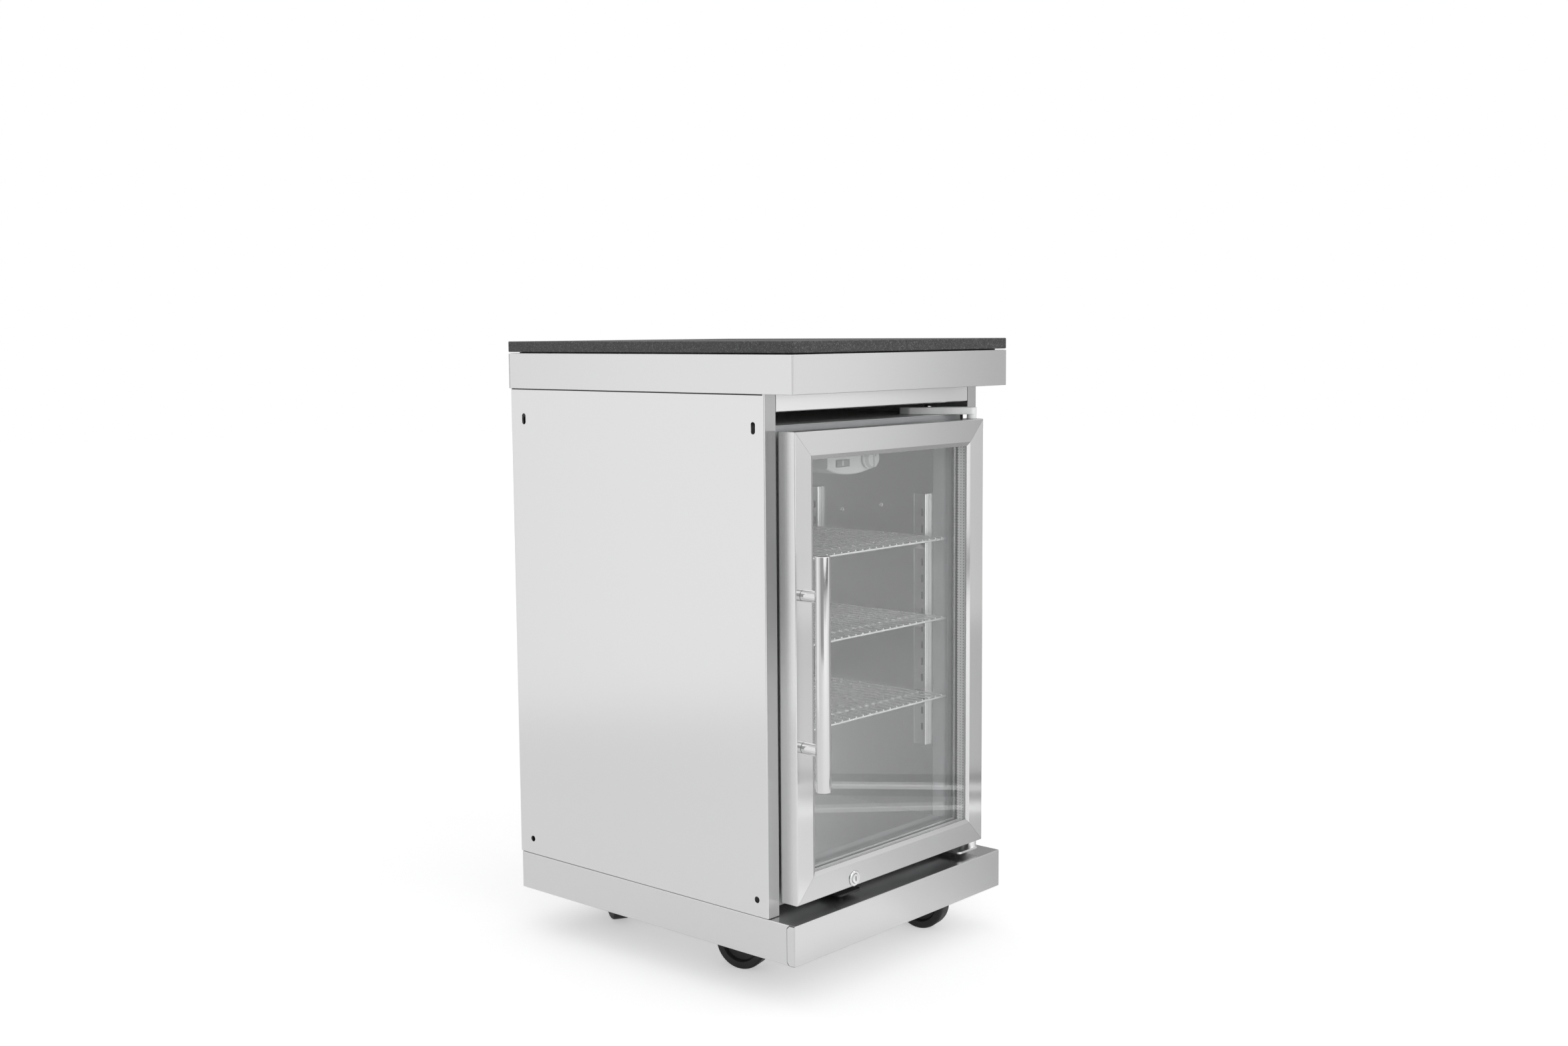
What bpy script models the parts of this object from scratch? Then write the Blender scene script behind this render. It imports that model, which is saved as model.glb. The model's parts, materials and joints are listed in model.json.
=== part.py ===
"""Undercounter refrigerator in a wheeled stainless cabinet.

A glass-door refrigerator stands on a folded base tray with four swivel casters,
between two folded side panels, under a skirted top tray that carries a stone slab.
Metres, +Z up, front towards -Y, right towards +X, floor at z = 0.
"""
import math

import bmesh
import bpy
from mathutils import Matrix, Vector

# Fits
GAP = 0.0003
RUNNING_GAP = 0.0006

# Cabinet
CABINET_WIDTH = 0.483
CABINET_DEPTH = 0.569
STONE_THICKNESS = 0.0158
STONE_SEAT_HEIGHT = 0.0024
STONE_SEAT_INSET = 0.012
STONE_SEAT_WIDTH = 0.020
STONE_EDGE_RADIUS = 0.0012
SKIRT_HEIGHT = 0.0516
SKIRT_OVERHANG = 0.0533
CABINET_SHEET = 0.0012
PANEL_HEIGHT = 0.7632
PANEL_FLANGE = 0.0223
PANEL_FIT = 0.0004
PANEL_SLOT_WIDTH = 0.008
PANEL_SLOT_LENGTH = 0.0165
PANEL_SLOT_DROP = 0.0953
PANEL_HOLE_DIAMETER = 0.009
PANEL_HOLE_LIFT = 0.024
PANEL_HOLE_FRONT_INSET = 0.0205
PANEL_HOLE_BACK_INSET = 0.029
RAIL_DROP = 0.0246
RAIL_DEPTH = 0.025
BACK_VENT_COUNT = 7
BACK_VENT_PITCH = 0.030
BACK_VENT_LENGTH = 0.220
BACK_VENT_HEIGHT = 0.012
BACK_VENT_LIFT = 0.060

# Base tray
BASE_CLEARANCE = 0.060
BASE_HEIGHT = 0.0568
BASE_SHEET = 0.0015
BASE_FRONT_INSET = 0.0064
BASE_SIDE_INSET = 0.0025
BASE_BACK_INSET = 0.003

# Casters
CASTER_SIDE_INSET = 0.0965
CASTER_END_INSET = 0.1325
CASTER_TRAIL = 0.045
CASTER_PLATE_LENGTH = 0.080
CASTER_PLATE_WIDTH = 0.062
CASTER_PLATE_THICKNESS = 0.003
CASTER_HEAD_RADIUS = 0.021
CASTER_CROWN_THICKNESS = 0.004
WHEEL_RADIUS = 0.040
WHEEL_WIDTH = 0.028
WHEEL_EDGE = 0.004
WHEEL_HUB_RADIUS = 0.013
WHEEL_DISH_RADIUS = 0.028
WHEEL_DISH_DEPTH = 0.005
WHEEL_CROWN_CLEARANCE = 0.009
WHEEL_SIDE_CLEARANCE = 0.0015
AXLE_RADIUS = 0.005
FORK_LEG_THICKNESS = 0.003
FORK_FOOT_RADIUS = 0.011
CASTER_ANGLES = {
    "front_left": 104.0,
    "front_right": -80.0,
    "rear_left": 60.0,
    "rear_right": 140.0,
}

# Refrigerator body
CASE_SIDE_AIR = 0.0046
CASE_BACK_AIR = 0.0334
CASE_TOP_AIR = 0.0933
CASE_SHEET = 0.0008
FOOT_HEIGHT = 0.010
FOOT_RADIUS = 0.016
FOOT_INSET = 0.045
LINER_SHEET = 0.001
LINER_SIDE_WALL = 0.0355
LINER_FLOOR_WALL = 0.0434
LINER_CEILING_WALL = 0.037
LINER_BACK_WALL = 0.0765
HUMP_DEPTH = 0.1125
HUMP_HEIGHT = 0.175
RECESS_WALL = 0.030
RECESS_SIDE = 0.020
RECESS_SILL = 0.006
COLLAR_DEPTH = 0.0285
COLLAR_FACE = 0.0035
COLLAR_WALL = 0.002
EVAPORATOR_SIDE_INSET = 0.0375
EVAPORATOR_LIFT = 0.0648
EVAPORATOR_THICKNESS = 0.010
EVAPORATOR_DROP = 0.040

# Cooling unit in the rear recess
COMPRESSOR_RADIUS = 0.050
COMPRESSOR_HEIGHT = 0.125
COMPRESSOR_BEVEL = 0.018
COMPRESSOR_BASE = 0.112
COMPRESSOR_BASE_THICKNESS = 0.004
COMPRESSOR_SIDE_INSET = 0.113
CONDENSER_WIDTH = 0.150
CONDENSER_DEPTH = 0.040
CONDENSER_HEIGHT = 0.150
CONDENSER_SIDE_INSET = 0.118
FIN_COUNT = 11
FIN_SLOT = 0.006
FIN_SLOT_DEPTH = 0.030
FAN_RADIUS = 0.055
FAN_HUB_RADIUS = 0.016
FAN_HUB_LENGTH = 0.018
FAN_BLADE_COUNT = 5
FAN_BLADE_WIDTH = 0.026
FAN_BLADE_THICKNESS = 0.002
FAN_BLADE_PITCH = 32.0
FAN_SHAFT_RADIUS = 0.003
MOTOR_RADIUS = 0.022
MOTOR_LENGTH = 0.030
MOTOR_POST_WIDTH = 0.024
MOTOR_POST_DEPTH = 0.012
FAN_HEIGHT = 0.085
FAN_TO_CONDENSER = 0.016
GRILLE_THICKNESS = 0.0012
GRILLE_OVERLAP = 0.010
GRILLE_SLOT_COUNT = 9
GRILLE_SLOT_PITCH = 0.016
GRILLE_SLOT_HEIGHT = 0.007
INLET_WIDTH = 0.028
INLET_HEIGHT = 0.022
INLET_DEPTH = 0.012
INLET_WALL = 0.0036
INLET_FLOOR = 0.003
INLET_LIFT = 0.022
INLET_BAY = 0.056

# Shelves and their standards
SHELF_SHARES = (0.32822, 0.53432, 0.74215)
SHELF_WIRE_COUNT = 22
SHELF_WIRE = 0.0026
SHELF_BAR = 0.0034
SHELF_WELD = 0.0006
SHELF_SIDE_AIR = 0.0115
SHELF_FRONT_SIDE_AIR = 0.0027
SHELF_FRONT_INSET = 0.0025
SHELF_BACK_GAP = 0.010
STANDARD_WIDTH = 0.0228
STANDARD_PROUD = 0.008
STANDARD_FRONT_OFFSET = 0.019
STANDARD_REAR_SETBACK = 0.020
STANDARD_LIFT = 0.110
STANDARD_DROP = 0.0838
CLIP_REACH = 0.020
CLIP_DROP = 0.017
CLIP_WIDTH = 0.0205
CLIP_EDGE = 0.0015

# Control housing on the ceiling of the liner
HOUSING_WIDTH = 0.111
HOUSING_DEPTH = 0.100
HOUSING_DROP = 0.043
HOUSING_CROWN = 0.010
HOUSING_FRONT_OFFSET = 0.0115
KNOB_RADIUS = 0.0155
KNOB_LENGTH = 0.010
KNOB_OFFSET = 0.037
KNOB_DROP = 0.0215
KNOB_GRIP_WIDTH = 0.004
KNOB_GRIP_LENGTH = 0.0248
KNOB_GRIP_PROUD = 0.003
ROCKER_WIDTH = 0.029
ROCKER_HEIGHT = 0.0095
ROCKER_THICKNESS = 0.005
ROCKER_OFFSET = -0.0215
ROCKER_DROP = 0.0258
ROCKER_TILT = 7.0
ROCKER_POCKET_DEPTH = 0.009
ROCKER_POCKET_MARGIN = 0.0012

# Door
DOOR_SIDE_AIR = 0.0028
DOOR_THICKNESS = 0.031
DOOR_SETBACK = 0.022
DOOR_LIFT = 0.0089
DOOR_DROP = 0.0067
FRAME_FACE = 0.033
FRAME_LIP = 0.006
FRAME_LIP_SET = 0.0025
FRAME_FRONT_WEB = 0.0037
FRAME_BACK_WEB = 0.0027
GLASS_BITE = 0.010
GLASS_THICKNESS = 0.004
SPACER_WIDTH = 0.006
GASKET_DEPTH = 0.0102
GASKET_INSET = 0.012
GASKET_WIDTH = 0.018
GASKET_CLEARANCE = 0.0005

# Door handle
HANDLE_RADIUS = 0.0105
HANDLE_LENGTH = 0.3195
HANDLE_STANDOFF = 0.033
HANDLE_POST_RADIUS = 0.0085
HANDLE_POST_SPACING = 0.208
HANDLE_MIDDLE = 0.321

# Lock
LOCK_OFFSET = -0.0936
LOCK_LIFT = 0.0114
LOCK_BARREL_RADIUS = 0.0098
LOCK_FLANGE_RADIUS = 0.0111
LOCK_FLANGE_THICKNESS = 0.0018
LOCK_DEPTH = 0.0190
LOCK_PLUG_RADIUS = 0.0065
LOCK_PLUG_PROUD = 0.001
LOCK_KEYWAY_WIDTH = 0.0016
LOCK_KEYWAY_HEIGHT = 0.007
LOCK_KEYWAY_DEPTH = 0.008
BOLT_WIDTH = 0.010
BOLT_DEPTH = 0.0055
BOLT_LENGTH = 0.020
BOLT_RECESS = 0.0006
STRIKE_WIDTH = 0.047
STRIKE_FRONT = 0.0065
STRIKE_UNDER = 0.045

# Hinges
HINGE_INSET = 0.0148
HINGE_SETBACK = 0.011
HINGE_PLATE = 0.003
PIN_RADIUS = 0.004
PIN_REACH = 0.008
PIN_BORE_SPARE = 0.002
TOP_PLATE_THICKNESS = 0.0107
TOP_BUSH_RADIUS = 0.007
TOP_PLATE_SIDE = 0.0068
TOP_PLATE_NOSE = 0.0045
TOP_PLATE_BACK = 0.060
TOP_PLATE_REACH = 0.068
TOP_PLATE_SHOULDER = 0.020
BOTTOM_BUSH_RADIUS = 0.0088
BOTTOM_PLATE_WIDTH = 0.050
BOTTOM_PLATE_UNDER = 0.060
BOTTOM_PLATE_NOSE = 0.0098

# Mesh fineness
ROUND_SIDES = 24
SMALL_SIDES = 16
TINY_SIDES = 12
HANDLE_SIDES = 32
WHEEL_STEPS = 28
HOUSING_STEPS = 10

# Places that follow from the sizes
HANDLE_REACH = HANDLE_STANDOFF + HANDLE_RADIUS - DOOR_SETBACK
Y_SKIRT = (HANDLE_REACH - CABINET_DEPTH) / 2
Y_BACK = Y_SKIRT + CABINET_DEPTH
X_SIDE = CABINET_WIDTH / 2
PANEL_INSET = CABINET_SHEET + PANEL_FIT
X_PANEL = X_SIDE - PANEL_INSET
X_BAY = X_PANEL - PANEL_FLANGE
Y_PANEL = Y_SKIRT + SKIRT_OVERHANG
Y_PANEL_BACK = Y_BACK - PANEL_INSET
Z_DECK = BASE_CLEARANCE + BASE_HEIGHT
Z_PANEL = Z_DECK + GAP
Z_PANEL_TOP = Z_PANEL + PANEL_HEIGHT
Z_TRAY_TOP = Z_PANEL_TOP + GAP + CABINET_SHEET
Z_SKIRT = Z_TRAY_TOP - SKIRT_HEIGHT
Z_STONE = Z_TRAY_TOP + STONE_SEAT_HEIGHT

Y_DOOR = Y_SKIRT + DOOR_SETBACK
Y_DOOR_BACK = Y_DOOR + DOOR_THICKNESS
Y_GASKET = Y_DOOR_BACK + GAP
Y_FACE = Y_GASKET + GASKET_DEPTH + GASKET_CLEARANCE
Y_CASE_BACK = Y_PANEL_BACK - CASE_BACK_AIR
Z_CASE = Z_DECK + FOOT_HEIGHT
Z_CASE_TOP = Z_PANEL_TOP - CASE_TOP_AIR
X_CASE = X_BAY - CASE_SIDE_AIR
X_LINER = X_CASE - LINER_SIDE_WALL
Y_LINER = Y_FACE + COLLAR_DEPTH
Y_LINER_BACK = Y_CASE_BACK - LINER_BACK_WALL
Z_LINER = Z_CASE + LINER_FLOOR_WALL
Z_LINER_TOP = Z_CASE_TOP - LINER_CEILING_WALL
Y_HUMP = Y_LINER_BACK - HUMP_DEPTH
Z_HUMP = Z_LINER + HUMP_HEIGHT
Y_RECESS = Y_HUMP + LINER_SHEET + RECESS_WALL
Z_RECESS_TOP = Z_HUMP - LINER_SHEET - RECESS_WALL
Z_RECESS = Z_CASE + CASE_SHEET + GAP
X_COMPRESSOR = COMPRESSOR_SIDE_INSET - X_CASE
X_CONDENSER = X_CASE - CONDENSER_SIDE_INSET

X_DOOR = X_BAY - DOOR_SIDE_AIR
Z_DOOR = Z_CASE + DOOR_LIFT
Z_DOOR_TOP = Z_CASE_TOP - DOOR_DROP
HINGE_X = X_DOOR - HINGE_INSET
HINGE_Y = Y_DOOR + HINGE_SETBACK
FRAME_BORDER = FRAME_FACE + FRAME_LIP
GLASS_EDGE = FRAME_BORDER - GLASS_BITE
BEYOND = 0.05

# Finishes: colour, roughness, metallic, transmission
BRUSHED_STEEL = ((0.72, 0.72, 0.72), 0.32, 1.0, 0.0)
POLISHED_STEEL = ((0.80, 0.80, 0.80), 0.16, 1.0, 0.0)
DULL_STEEL = ((0.55, 0.55, 0.56), 0.40, 1.0, 0.0)
DARK_STONE = ((0.075, 0.076, 0.078), 0.55, 0.0, 0.0)
WHITE_PLASTIC = ((0.86, 0.87, 0.88), 0.40, 0.0, 0.0)
GREY_PLASTIC = ((0.45, 0.46, 0.47), 0.45, 0.0, 0.0)
BLACK_RUBBER = ((0.020, 0.020, 0.022), 0.60, 0.0, 0.0)
BLACK_PAINT = ((0.025, 0.025, 0.027), 0.45, 0.0, 0.0)
CLEAR_GLASS = ((0.90, 0.93, 0.92), 0.03, 0.0, 1.0)
PALE_FOAM = ((0.80, 0.74, 0.52), 0.90, 0.0, 0.0)
COPPER_ALUMINIUM = ((0.62, 0.60, 0.58), 0.45, 1.0, 0.0)


def clear_scene():
    for item in list(bpy.data.objects):
        bpy.data.objects.remove(item, do_unlink=True)


def new_collection(name):
    collection = bpy.data.collections.new(name)
    bpy.context.scene.collection.children.link(collection)
    return collection


clear_scene()
PARTS = new_collection("undercounter_refrigerator")
CUTTERS = new_collection("cutters")


# Building blocks

def mesh_object(name, shape, location=(0.0, 0.0, 0.0)):
    mesh = bpy.data.meshes.new(name)
    shape.to_mesh(mesh)
    shape.free()
    item = bpy.data.objects.new(name, mesh)
    item.location = location
    return item


def block(name, x, y, z):
    """A box between the low and high value of each axis, with its origin in its middle."""
    spans = (x, y, z)
    size = Vector(high - low for low, high in spans)
    middle = Vector((high + low) / 2 for low, high in spans)
    shape = bmesh.new()
    bmesh.ops.create_cube(shape, size=1.0)
    bmesh.ops.scale(shape, vec=size, verts=shape.verts)
    return mesh_object(name, shape, middle)


def turned_to(axis):
    return Vector((0.0, 0.0, 1.0)).rotation_difference(Vector(axis)).to_matrix()


def cylinder(name, radius, length, middle, axis, sides=ROUND_SIDES):
    """A capped cylinder along the axis, with its origin in its middle."""
    shape = bmesh.new()
    bmesh.ops.create_cone(shape, cap_ends=True, segments=sides, radius1=radius, radius2=radius, depth=length)
    bmesh.ops.rotate(shape, cent=(0.0, 0.0, 0.0), matrix=turned_to(axis), verts=shape.verts)
    item = mesh_object(name, shape, middle)
    item.data.shade_smooth()
    item.data.set_sharp_from_angle(angle=math.radians(40.0))
    return item


def slot_cylinder(name, width, length, depth, middle, axis):
    """A round-ended slot cutter whose long way is Z and whose depth runs along a level axis."""
    item = cylinder(name, width / 2, depth, middle, axis, SMALL_SIDES)
    item.data.transform(Matrix.Rotation(math.pi / SMALL_SIDES, 4, axis))
    half = (length - width) / 2
    for vertex in item.data.vertices:
        vertex.co.z += math.copysign(half, vertex.co.z)
    return item


def outline(name, points, depth, location=(0.0, 0.0, 0.0), turn=(0.0, 0.0, 0.0)):
    """A flat closed outline, filled and given a depth along its own Z from -depth/2 to depth/2."""
    curve = bpy.data.curves.new(name, "CURVE")
    curve.dimensions = "2D"
    curve.fill_mode = "BOTH"
    curve.extrude = depth / 2
    spline = curve.splines.new("POLY")
    spline.points.add(len(points) - 1)
    for spot, (u, v) in zip(spline.points, points):
        spot.co = (u, v, 0.0, 1.0)
    spline.use_cyclic_u = True
    drawn = bpy.data.objects.new(name, curve)
    bpy.context.scene.collection.objects.link(drawn)
    evaluated = drawn.evaluated_get(bpy.context.evaluated_depsgraph_get())
    mesh = bpy.data.meshes.new_from_object(evaluated)
    bpy.data.objects.remove(drawn, do_unlink=True)
    shape = bmesh.new()
    shape.from_mesh(mesh)
    bpy.data.meshes.remove(mesh)
    bmesh.ops.remove_doubles(shape, verts=shape.verts, dist=0.00001)
    bmesh.ops.recalc_face_normals(shape, faces=shape.faces)
    bmesh.ops.rotate(shape, cent=(0.0, 0.0, 0.0), matrix=Matrix.Rotation(turn[0], 3, "X"), verts=shape.verts)
    bmesh.ops.rotate(shape, cent=(0.0, 0.0, 0.0), matrix=Matrix.Rotation(turn[1], 3, "Y"), verts=shape.verts)
    bmesh.ops.rotate(shape, cent=(0.0, 0.0, 0.0), matrix=Matrix.Rotation(turn[2], 3, "Z"), verts=shape.verts)
    return mesh_object(name, shape, location)


def boolean(target, tool, operation):
    tool.hide_render = True
    tool.display_type = "WIRE"
    CUTTERS.objects.link(tool)
    modifier = target.modifiers.new(operation.lower(), "BOOLEAN")
    modifier.operation = operation
    modifier.solver = "EXACT"
    modifier.object = tool


def cut(target, tool):
    boolean(target, tool, "DIFFERENCE")


def fuse(target, tool):
    boolean(target, tool, "UNION")


def repeat(item, count, step):
    modifier = item.modifiers.new("row", "ARRAY")
    modifier.count = count
    modifier.use_relative_offset = False
    modifier.use_constant_offset = True
    modifier.constant_offset_displace = step
    modifier.merge_threshold = 0.0001
    return item


def bevel(item, width, segments=2):
    modifier = item.modifiers.new("edges", "BEVEL")
    modifier.width = width
    modifier.segments = segments
    modifier.limit_method = "ANGLE"


def finish(item, look):
    """Puts a piece among the parts with a material of its own."""
    colour, roughness, metallic, transmission = look
    material = bpy.data.materials.new(item.name)
    material.use_nodes = True
    shader = material.node_tree.nodes["Principled BSDF"]
    shader.inputs["Base Color"].default_value = (*colour, 1.0)
    shader.inputs["Roughness"].default_value = roughness
    shader.inputs["Metallic"].default_value = metallic
    shader.inputs["Transmission Weight"].default_value = transmission
    item.data.materials.append(material)
    PARTS.objects.link(item)
    return item


def pivot(name, location, turn=0.0):
    empty = bpy.data.objects.new(name, None)
    empty.location = location
    empty.rotation_euler = (0.0, 0.0, turn)
    PARTS.objects.link(empty)
    return empty


def hang(item, empty):
    """Parents a piece that was placed in world space to an empty on its joint's axis."""
    item.parent = empty
    item.matrix_parent_inverse = empty.matrix_basis.inverted()


def seat(item, empty):
    """Parents a piece that was placed in the empty's own space."""
    item.parent = empty


def ring(name, x, y, z, border):
    """An upright rectangular frame in the XZ plane with an open middle."""
    frame = block(name, x, y, z)
    middle_x = (x[0] + border, x[1] - border)
    middle_z = (z[0] + border, z[1] - border)
    cut(frame, block(name + "_opening", middle_x, (y[0] - BEYOND, y[1] + BEYOND), middle_z))
    return frame


# Cabinet

def make_countertop():
    low = Z_STONE + GAP
    slab = block("countertop", (-X_SIDE, X_SIDE), (Y_SKIRT, Y_BACK), (low, low + STONE_THICKNESS))
    bevel(slab, STONE_EDGE_RADIUS)
    finish(slab, DARK_STONE)


def make_top_tray():
    tray = block("top_tray", (-X_SIDE, X_SIDE), (Y_SKIRT, Y_BACK), (Z_SKIRT, Z_TRAY_TOP))
    inner_x = X_SIDE - CABINET_SHEET
    inner_y = (Y_SKIRT + CABINET_SHEET, Y_BACK - CABINET_SHEET)
    inner_z = (Z_SKIRT - BEYOND, Z_TRAY_TOP - CABINET_SHEET)
    cut(tray, block("tray_inside", (-inner_x, inner_x), inner_y, inner_z))
    outer = STONE_SEAT_INSET
    inner = STONE_SEAT_INSET + STONE_SEAT_WIDTH
    seat_z = (Z_TRAY_TOP - CABINET_SHEET / 2, Z_STONE)
    ledge = block("stone_seat", (outer - X_SIDE, X_SIDE - outer), (Y_SKIRT + outer, Y_BACK - outer), seat_z)
    hollow_z = (Z_TRAY_TOP - BEYOND, Z_STONE + BEYOND)
    hollow_x = (inner - X_SIDE, X_SIDE - inner)
    hollow_y = (Y_SKIRT + inner, Y_BACK - inner)
    cut(ledge, block("seat_inside", hollow_x, hollow_y, hollow_z))
    fuse(tray, ledge)
    finish(tray, BRUSHED_STEEL)


def make_side_panel(name, side):
    outer = side * X_PANEL
    inner = side * X_BAY
    panel = block(name, tuple(sorted((outer, inner))), (Y_PANEL, Y_PANEL_BACK), (Z_PANEL, Z_PANEL_TOP))
    web = side * (X_PANEL - CABINET_SHEET)
    open_to = side * (X_BAY - BEYOND)
    hollow_y = (Y_PANEL + CABINET_SHEET, Y_PANEL_BACK - CABINET_SHEET)
    hollow_z = (Z_PANEL - BEYOND, Z_PANEL_TOP + BEYOND)
    cut(panel, block(name + "_inside", tuple(sorted((web, open_to))), hollow_y, hollow_z))
    slot_z = Z_PANEL_TOP - PANEL_SLOT_DROP
    hole_z = Z_PANEL + PANEL_HOLE_LIFT
    for y in (Y_PANEL + PANEL_HOLE_FRONT_INSET, Y_PANEL_BACK - PANEL_HOLE_BACK_INSET):
        depth = 4 * CABINET_SHEET
        slot_size = (PANEL_SLOT_WIDTH, PANEL_SLOT_LENGTH, depth)
        cut(panel, slot_cylinder(name + "_slot", *slot_size, (outer, y, slot_z), (1, 0, 0)))
        hole_at = (outer, y, hole_z)
        cut(panel, cylinder(name + "_hole", PANEL_HOLE_DIAMETER / 2, depth, hole_at, (1, 0, 0), SMALL_SIDES))
    finish(panel, BRUSHED_STEEL)


def make_back_panel():
    half = X_BAY - GAP
    sheet_y = (Y_PANEL_BACK - CABINET_SHEET, Y_PANEL_BACK)
    panel = block("back_panel", (-half, half), sheet_y, (Z_PANEL, Z_PANEL_TOP))
    half_vent = BACK_VENT_LENGTH / 2
    vent_z = Z_PANEL + BACK_VENT_LIFT
    vent_y = (sheet_y[0] - BEYOND, sheet_y[1] + BEYOND)
    vent = block("back_vents", (-half_vent, half_vent), vent_y, (vent_z, vent_z + BACK_VENT_HEIGHT))
    cut(panel, repeat(vent, BACK_VENT_COUNT, (0.0, 0.0, BACK_VENT_PITCH)))
    finish(panel, BRUSHED_STEEL)


def make_front_rail():
    half = X_BAY - GAP
    low = Z_SKIRT - RAIL_DROP
    rail = block("front_rail", (-half, half), (Y_PANEL, Y_PANEL + RAIL_DEPTH), (low, Z_PANEL_TOP))
    hollow_y = (Y_PANEL + CABINET_SHEET, Y_PANEL + RAIL_DEPTH + BEYOND)
    hollow_z = (low + CABINET_SHEET, Z_PANEL_TOP + BEYOND)
    cut(rail, block("rail_inside", (-half - BEYOND, half + BEYOND), hollow_y, hollow_z))
    finish(rail, BRUSHED_STEEL)


def make_base_tray():
    half = X_SIDE - BASE_SIDE_INSET
    span_y = (Y_SKIRT + BASE_FRONT_INSET, Y_BACK - BASE_BACK_INSET)
    tray = block("base_tray", (-half, half), span_y, (BASE_CLEARANCE, Z_DECK))
    inner = half - BASE_SHEET
    inner_y = (span_y[0] + BASE_SHEET, span_y[1] - BASE_SHEET)
    cut(tray, block("base_inside", (-inner, inner), inner_y, (BASE_CLEARANCE - BEYOND, Z_DECK - BASE_SHEET)))
    finish(tray, BRUSHED_STEEL)


# Casters

def wheel_profile():
    """Half section of the wheel, as radius and width, down the tread and back up the bore."""
    half = WHEEL_WIDTH / 2
    bore = AXLE_RADIUS + GAP
    dish = half - WHEEL_DISH_DEPTH
    upper = [(bore, half), (WHEEL_HUB_RADIUS, half), (WHEEL_HUB_RADIUS, dish), (WHEEL_DISH_RADIUS, dish)]
    upper += [(WHEEL_DISH_RADIUS, half), (WHEEL_RADIUS - WHEEL_EDGE, half), (WHEEL_RADIUS, half - WHEEL_EDGE)]
    lower = [(radius, -height) for radius, height in reversed(upper)]
    return upper + lower


def turned_ring(name, profile, steps):
    """A closed profile turned about the local Z axis, then laid so that the axis is local Y."""
    shape = bmesh.new()
    spots = [shape.verts.new((radius, 0.0, height)) for radius, height in profile]
    for start, end in zip(spots, spots[1:] + spots[:1]):
        shape.edges.new((start, end))
    item = mesh_object(name, shape)
    screw = item.modifiers.new("turn", "SCREW")
    screw.axis = "Z"
    screw.angle = math.tau
    screw.steps = steps
    screw.render_steps = steps
    screw.use_merge_vertices = True
    screw.merge_threshold = 0.00001
    item.rotation_euler = (-math.pi / 2, 0.0, 0.0)
    return item


def make_caster(corner, x, y):
    z_plate = Z_DECK - BASE_SHEET - GAP
    z_head = z_plate - CASTER_PLATE_THICKNESS
    z_crown = 2 * WHEEL_RADIUS + WHEEL_CROWN_CLEARANCE
    z_crown_top = z_crown + CASTER_CROWN_THICKNESS
    stem = pivot("caster_stem_" + corner, (x, y, 0.0), math.radians(CASTER_ANGLES[corner]))

    half_length = CASTER_PLATE_LENGTH / 2
    half_width = CASTER_PLATE_WIDTH / 2
    plate_x = (x - half_width, x + half_width)
    plate_y = (y - half_length, y + half_length)
    plate = block("caster_plate_" + corner, plate_x, plate_y, (z_head, z_plate))
    head_low = z_crown_top + GAP
    head_high = z_head + CASTER_PLATE_THICKNESS / 2
    head_middle = (x, y, (head_low + head_high) / 2)
    head = cylinder("caster_head_" + corner, CASTER_HEAD_RADIUS, head_high - head_low, head_middle, (0, 0, 1))
    fuse(plate, head)
    finish(plate, DULL_STEEL)

    inner = WHEEL_WIDTH / 2 + WHEEL_SIDE_CLEARANCE
    outer = inner + FORK_LEG_THICKNESS
    crown_middle = (0.0, 0.0, (z_crown + z_crown_top) / 2)
    fork_name = "caster_fork_" + corner
    fork = cylinder(fork_name, CASTER_HEAD_RADIUS, CASTER_CROWN_THICKNESS, crown_middle, (0, 0, 1))
    leg_top = z_crown + CASTER_CROWN_THICKNESS / 2
    foot = [
        (
            CASTER_TRAIL + FORK_FOOT_RADIUS * math.cos(turn),
            WHEEL_RADIUS + FORK_FOOT_RADIUS * math.sin(turn),
        )
        for turn in (math.radians(angle) for angle in range(-150, 31, 30))
    ]
    front = CASTER_HEAD_RADIUS * math.cos(math.asin(min(1.0, inner / CASTER_HEAD_RADIUS)))
    side_points = [(-front, leg_top)] + foot + [(front, leg_top)]
    for side in (-1, 1):
        middle = (0.0, side * (inner + outer) / 2, 0.0)
        leg = outline("fork_leg_" + corner, side_points, FORK_LEG_THICKNESS, middle, (math.pi / 2, 0.0, 0.0))
        seat(leg, stem)
        fuse(fork, leg)
    axle_middle = (CASTER_TRAIL, 0.0, WHEEL_RADIUS)
    axle_length = 2 * inner + FORK_LEG_THICKNESS
    axle = cylinder("axle_" + corner, AXLE_RADIUS, axle_length, axle_middle, (0, 1, 0), SMALL_SIDES)
    seat(axle, stem)
    fuse(fork, axle)
    seat(fork, stem)
    finish(fork, DULL_STEEL)

    wheel = turned_ring("caster_wheel_" + corner, wheel_profile(), WHEEL_STEPS)
    wheel.location = axle_middle
    seat(wheel, stem)
    finish(wheel, BLACK_RUBBER)


def make_casters():
    x = X_SIDE - CASTER_SIDE_INSET
    y_front = Y_SKIRT + CASTER_END_INSET
    y_rear = Y_BACK - CASTER_END_INSET
    make_caster("front_left", -x, y_front)
    make_caster("front_right", x, y_front)
    make_caster("rear_left", -x, y_rear)
    make_caster("rear_right", x, y_rear)


# Refrigerator body

def liner_outline(wall, front):
    """Side view of the liner's hollow, grown by a wall, from a given front edge."""
    low = Z_LINER - wall
    high = Z_LINER_TOP + wall
    back = Y_LINER_BACK + wall
    step_y = Y_HUMP + wall
    step_z = Z_HUMP - wall
    return [(front, low), (step_y, low), (step_y, step_z), (back, step_z), (back, high), (front, high)]


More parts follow.
